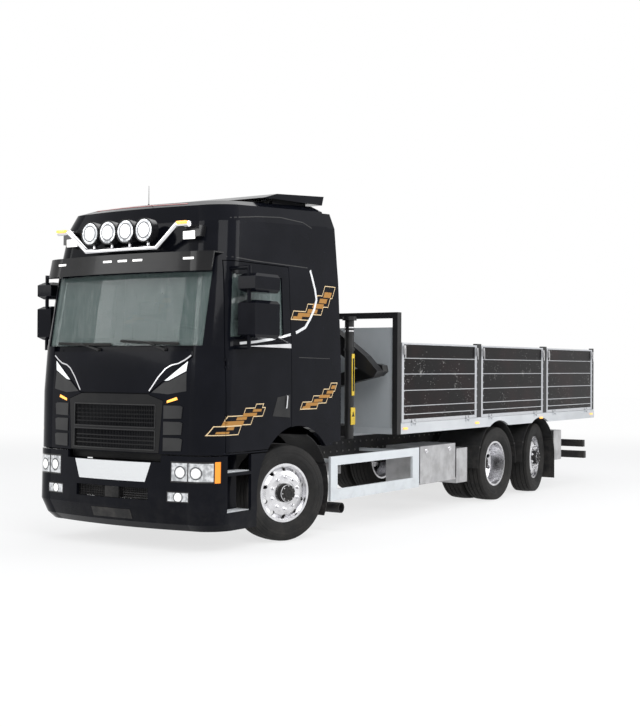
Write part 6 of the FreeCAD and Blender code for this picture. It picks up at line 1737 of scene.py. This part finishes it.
@dataclass
class Interior:
    """Seats, bunk and what they stand on, and the dashboard's screen."""

    repeat: Repeat
    seats: Spot = (-0.560, 0.560)
    seat_parts: tuple[tuple[str, float, Spot, Spot, dict], ...] = (
        ("cushion", 0.26, (-4.14, 1.652), (-3.76, 1.80), {}),
        ("back", 0.255, (-3.75, 1.80), (-3.625, 2.36), {"face": Axis.Y}),
        ("headrest", 0.14, (-3.74, 2.375), (-3.64, 2.555), {"channels": (0.0,), "channel_depth": 0.0, "face": Axis.Y}))
    bases: tuple[tuple[float, Spot, Spot, float], ...] = (
        (0.20, (-4.08, 1.352), (-3.68, 1.648), 0.02), (0.255, (-4.135, 1.600), (-3.63, 1.651), 0.015))
    bunk: tuple[Point, Point] = ((-1.055, -3.385, 1.752), (1.055, -2.755, 1.895))
    bunk_voxel: float = 0.022
    bunk_channels: tuple[float, ...] = (-0.7, -0.35, 0.0, 0.35, 0.7)
    bunk_box: tuple[Point, Point] = ((-1.015, -3.385, 1.352), (1.015, -2.755, 1.749))
    screen: tuple[Point, Point] = ((0.42, -4.30, 1.90), (0.72, -4.285, 1.97))

    def build(self) -> None:
        """Furnish the cab."""
        cushions = [
            Cushion(f"seat_{part}_{'left' if middle > 0 else 'right'}", (middle - half, *low), (middle + half, *high),
                    **more)
            for middle in self.seats for part, half, low, high, more in self.seat_parts]
        cushions.append(Cushion("bunk_mattress", *self.bunk, voxel=self.bunk_voxel, channels=self.bunk_channels))
        pieces = [cushion.build() for cushion in cushions]
        base = Draft("seat_bases_and_bunk_box")
        for middle in self.seats:
            for half, low, high, edge in self.bases:
                base.block((middle - half, *low), (middle + half, *high), edge)
        base.block(*self.bunk_box, 0.012)
        pieces.append(base.finish(Look.GRAINED, "cab", "black_plastic"))
        for piece in pieces:
            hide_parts("seats_and_bunk")
        screen = Draft("dashboard_screens").block(*self.screen, 0.003)
        screen.finish(Look.GLOSS_BLACK, "cab", "gloss_black_plastic")


CORNERS = tuple(wheel.corner for wheel in WheelDress.wheels)
WORN: dict[Look, Sequence[str]] = {
    Look.FRAME_PAINT: ("chassis_frame", "axles", "rear_underrun",
                       *(f"knuckle_{corner}" for corner in CORNERS if not corner.startswith("drive"))),
    Look.IRON: ("engine_block",),
    Look.STRIPED: ("cab_shell", "door_left", "door_right", "cab_fairings"),
    Look.PAINT: ("front_lid", "front_bumper"),
    Look.WINDSCREEN: ("windscreen",),
    Look.SIDE_GLASS: ("door_glass_left", "door_glass_right"),
    Look.GLOSS_BLACK: ("grille_panel", "sun_visor"),
    Look.LAMP_BAR: ("lamp_bar",),
    Look.GRAINED: ("dashboard", "steering_wheel", "mudguards"),
    Look.FABRIC: ("seats_and_bunk",),
    Look.FRONT_LAMP: ("front_lamps",),
    Look.LIGHT_METAL: ("side_skirts",),
    Look.STAINLESS: ("side_boxes", "box_door_left", "box_door_right"),
    Look.RAIL_METAL: ("fuel_tank",),
    Look.PLATFORM: ("platform",),
    Look.HEADBOARD: ("headboard",),
    Look.CRANE_PAINT: ("crane_base", "main_boom", "lift_barrel", "jib", "jib_extension", "stabiliser_left",
                       "stabiliser_right"),
    Look.BRIGHT: ("lift_rod",),
    Look.ALLOY: tuple(f"rim_{corner}" for corner in CORNERS),
    Look.RUBBER: tuple(f"tyre_{corner}" for corner in CORNERS),
    Look.GATE_ONE: ("gate_left_one", "gate_right_one"),
    Look.GATE_TWO: ("gate_left_two", "gate_right_two"),
    Look.GATE_THREE: ("gate_left_three", "gate_right_three"),
    Look.TAILGATE: ("tailgate",),
}


def dress_nodes() -> None:
    """Give every CAD node its finish."""
    for look, nodes in WORN.items():
        for node in nodes:
            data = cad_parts[node].data
            data.materials.clear()
            data.materials.append(look.material())
            log.info("%s wears %s", node, look.value.name)


def main() -> None:
    """Build the scene around the CAD frame."""
    logging.basicConfig(level=logging.INFO, format="%(message)s")
    dress_nodes()
    repeat = Repeat()
    for part in (WheelDress, NoseDress, SideDress, BedDress, ChassisDress, CraneDress, Interior):
        log.info("%s", part.__name__)
        part(repeat).build()
    Studio().build()


if __name__ == "__main__":
    main()
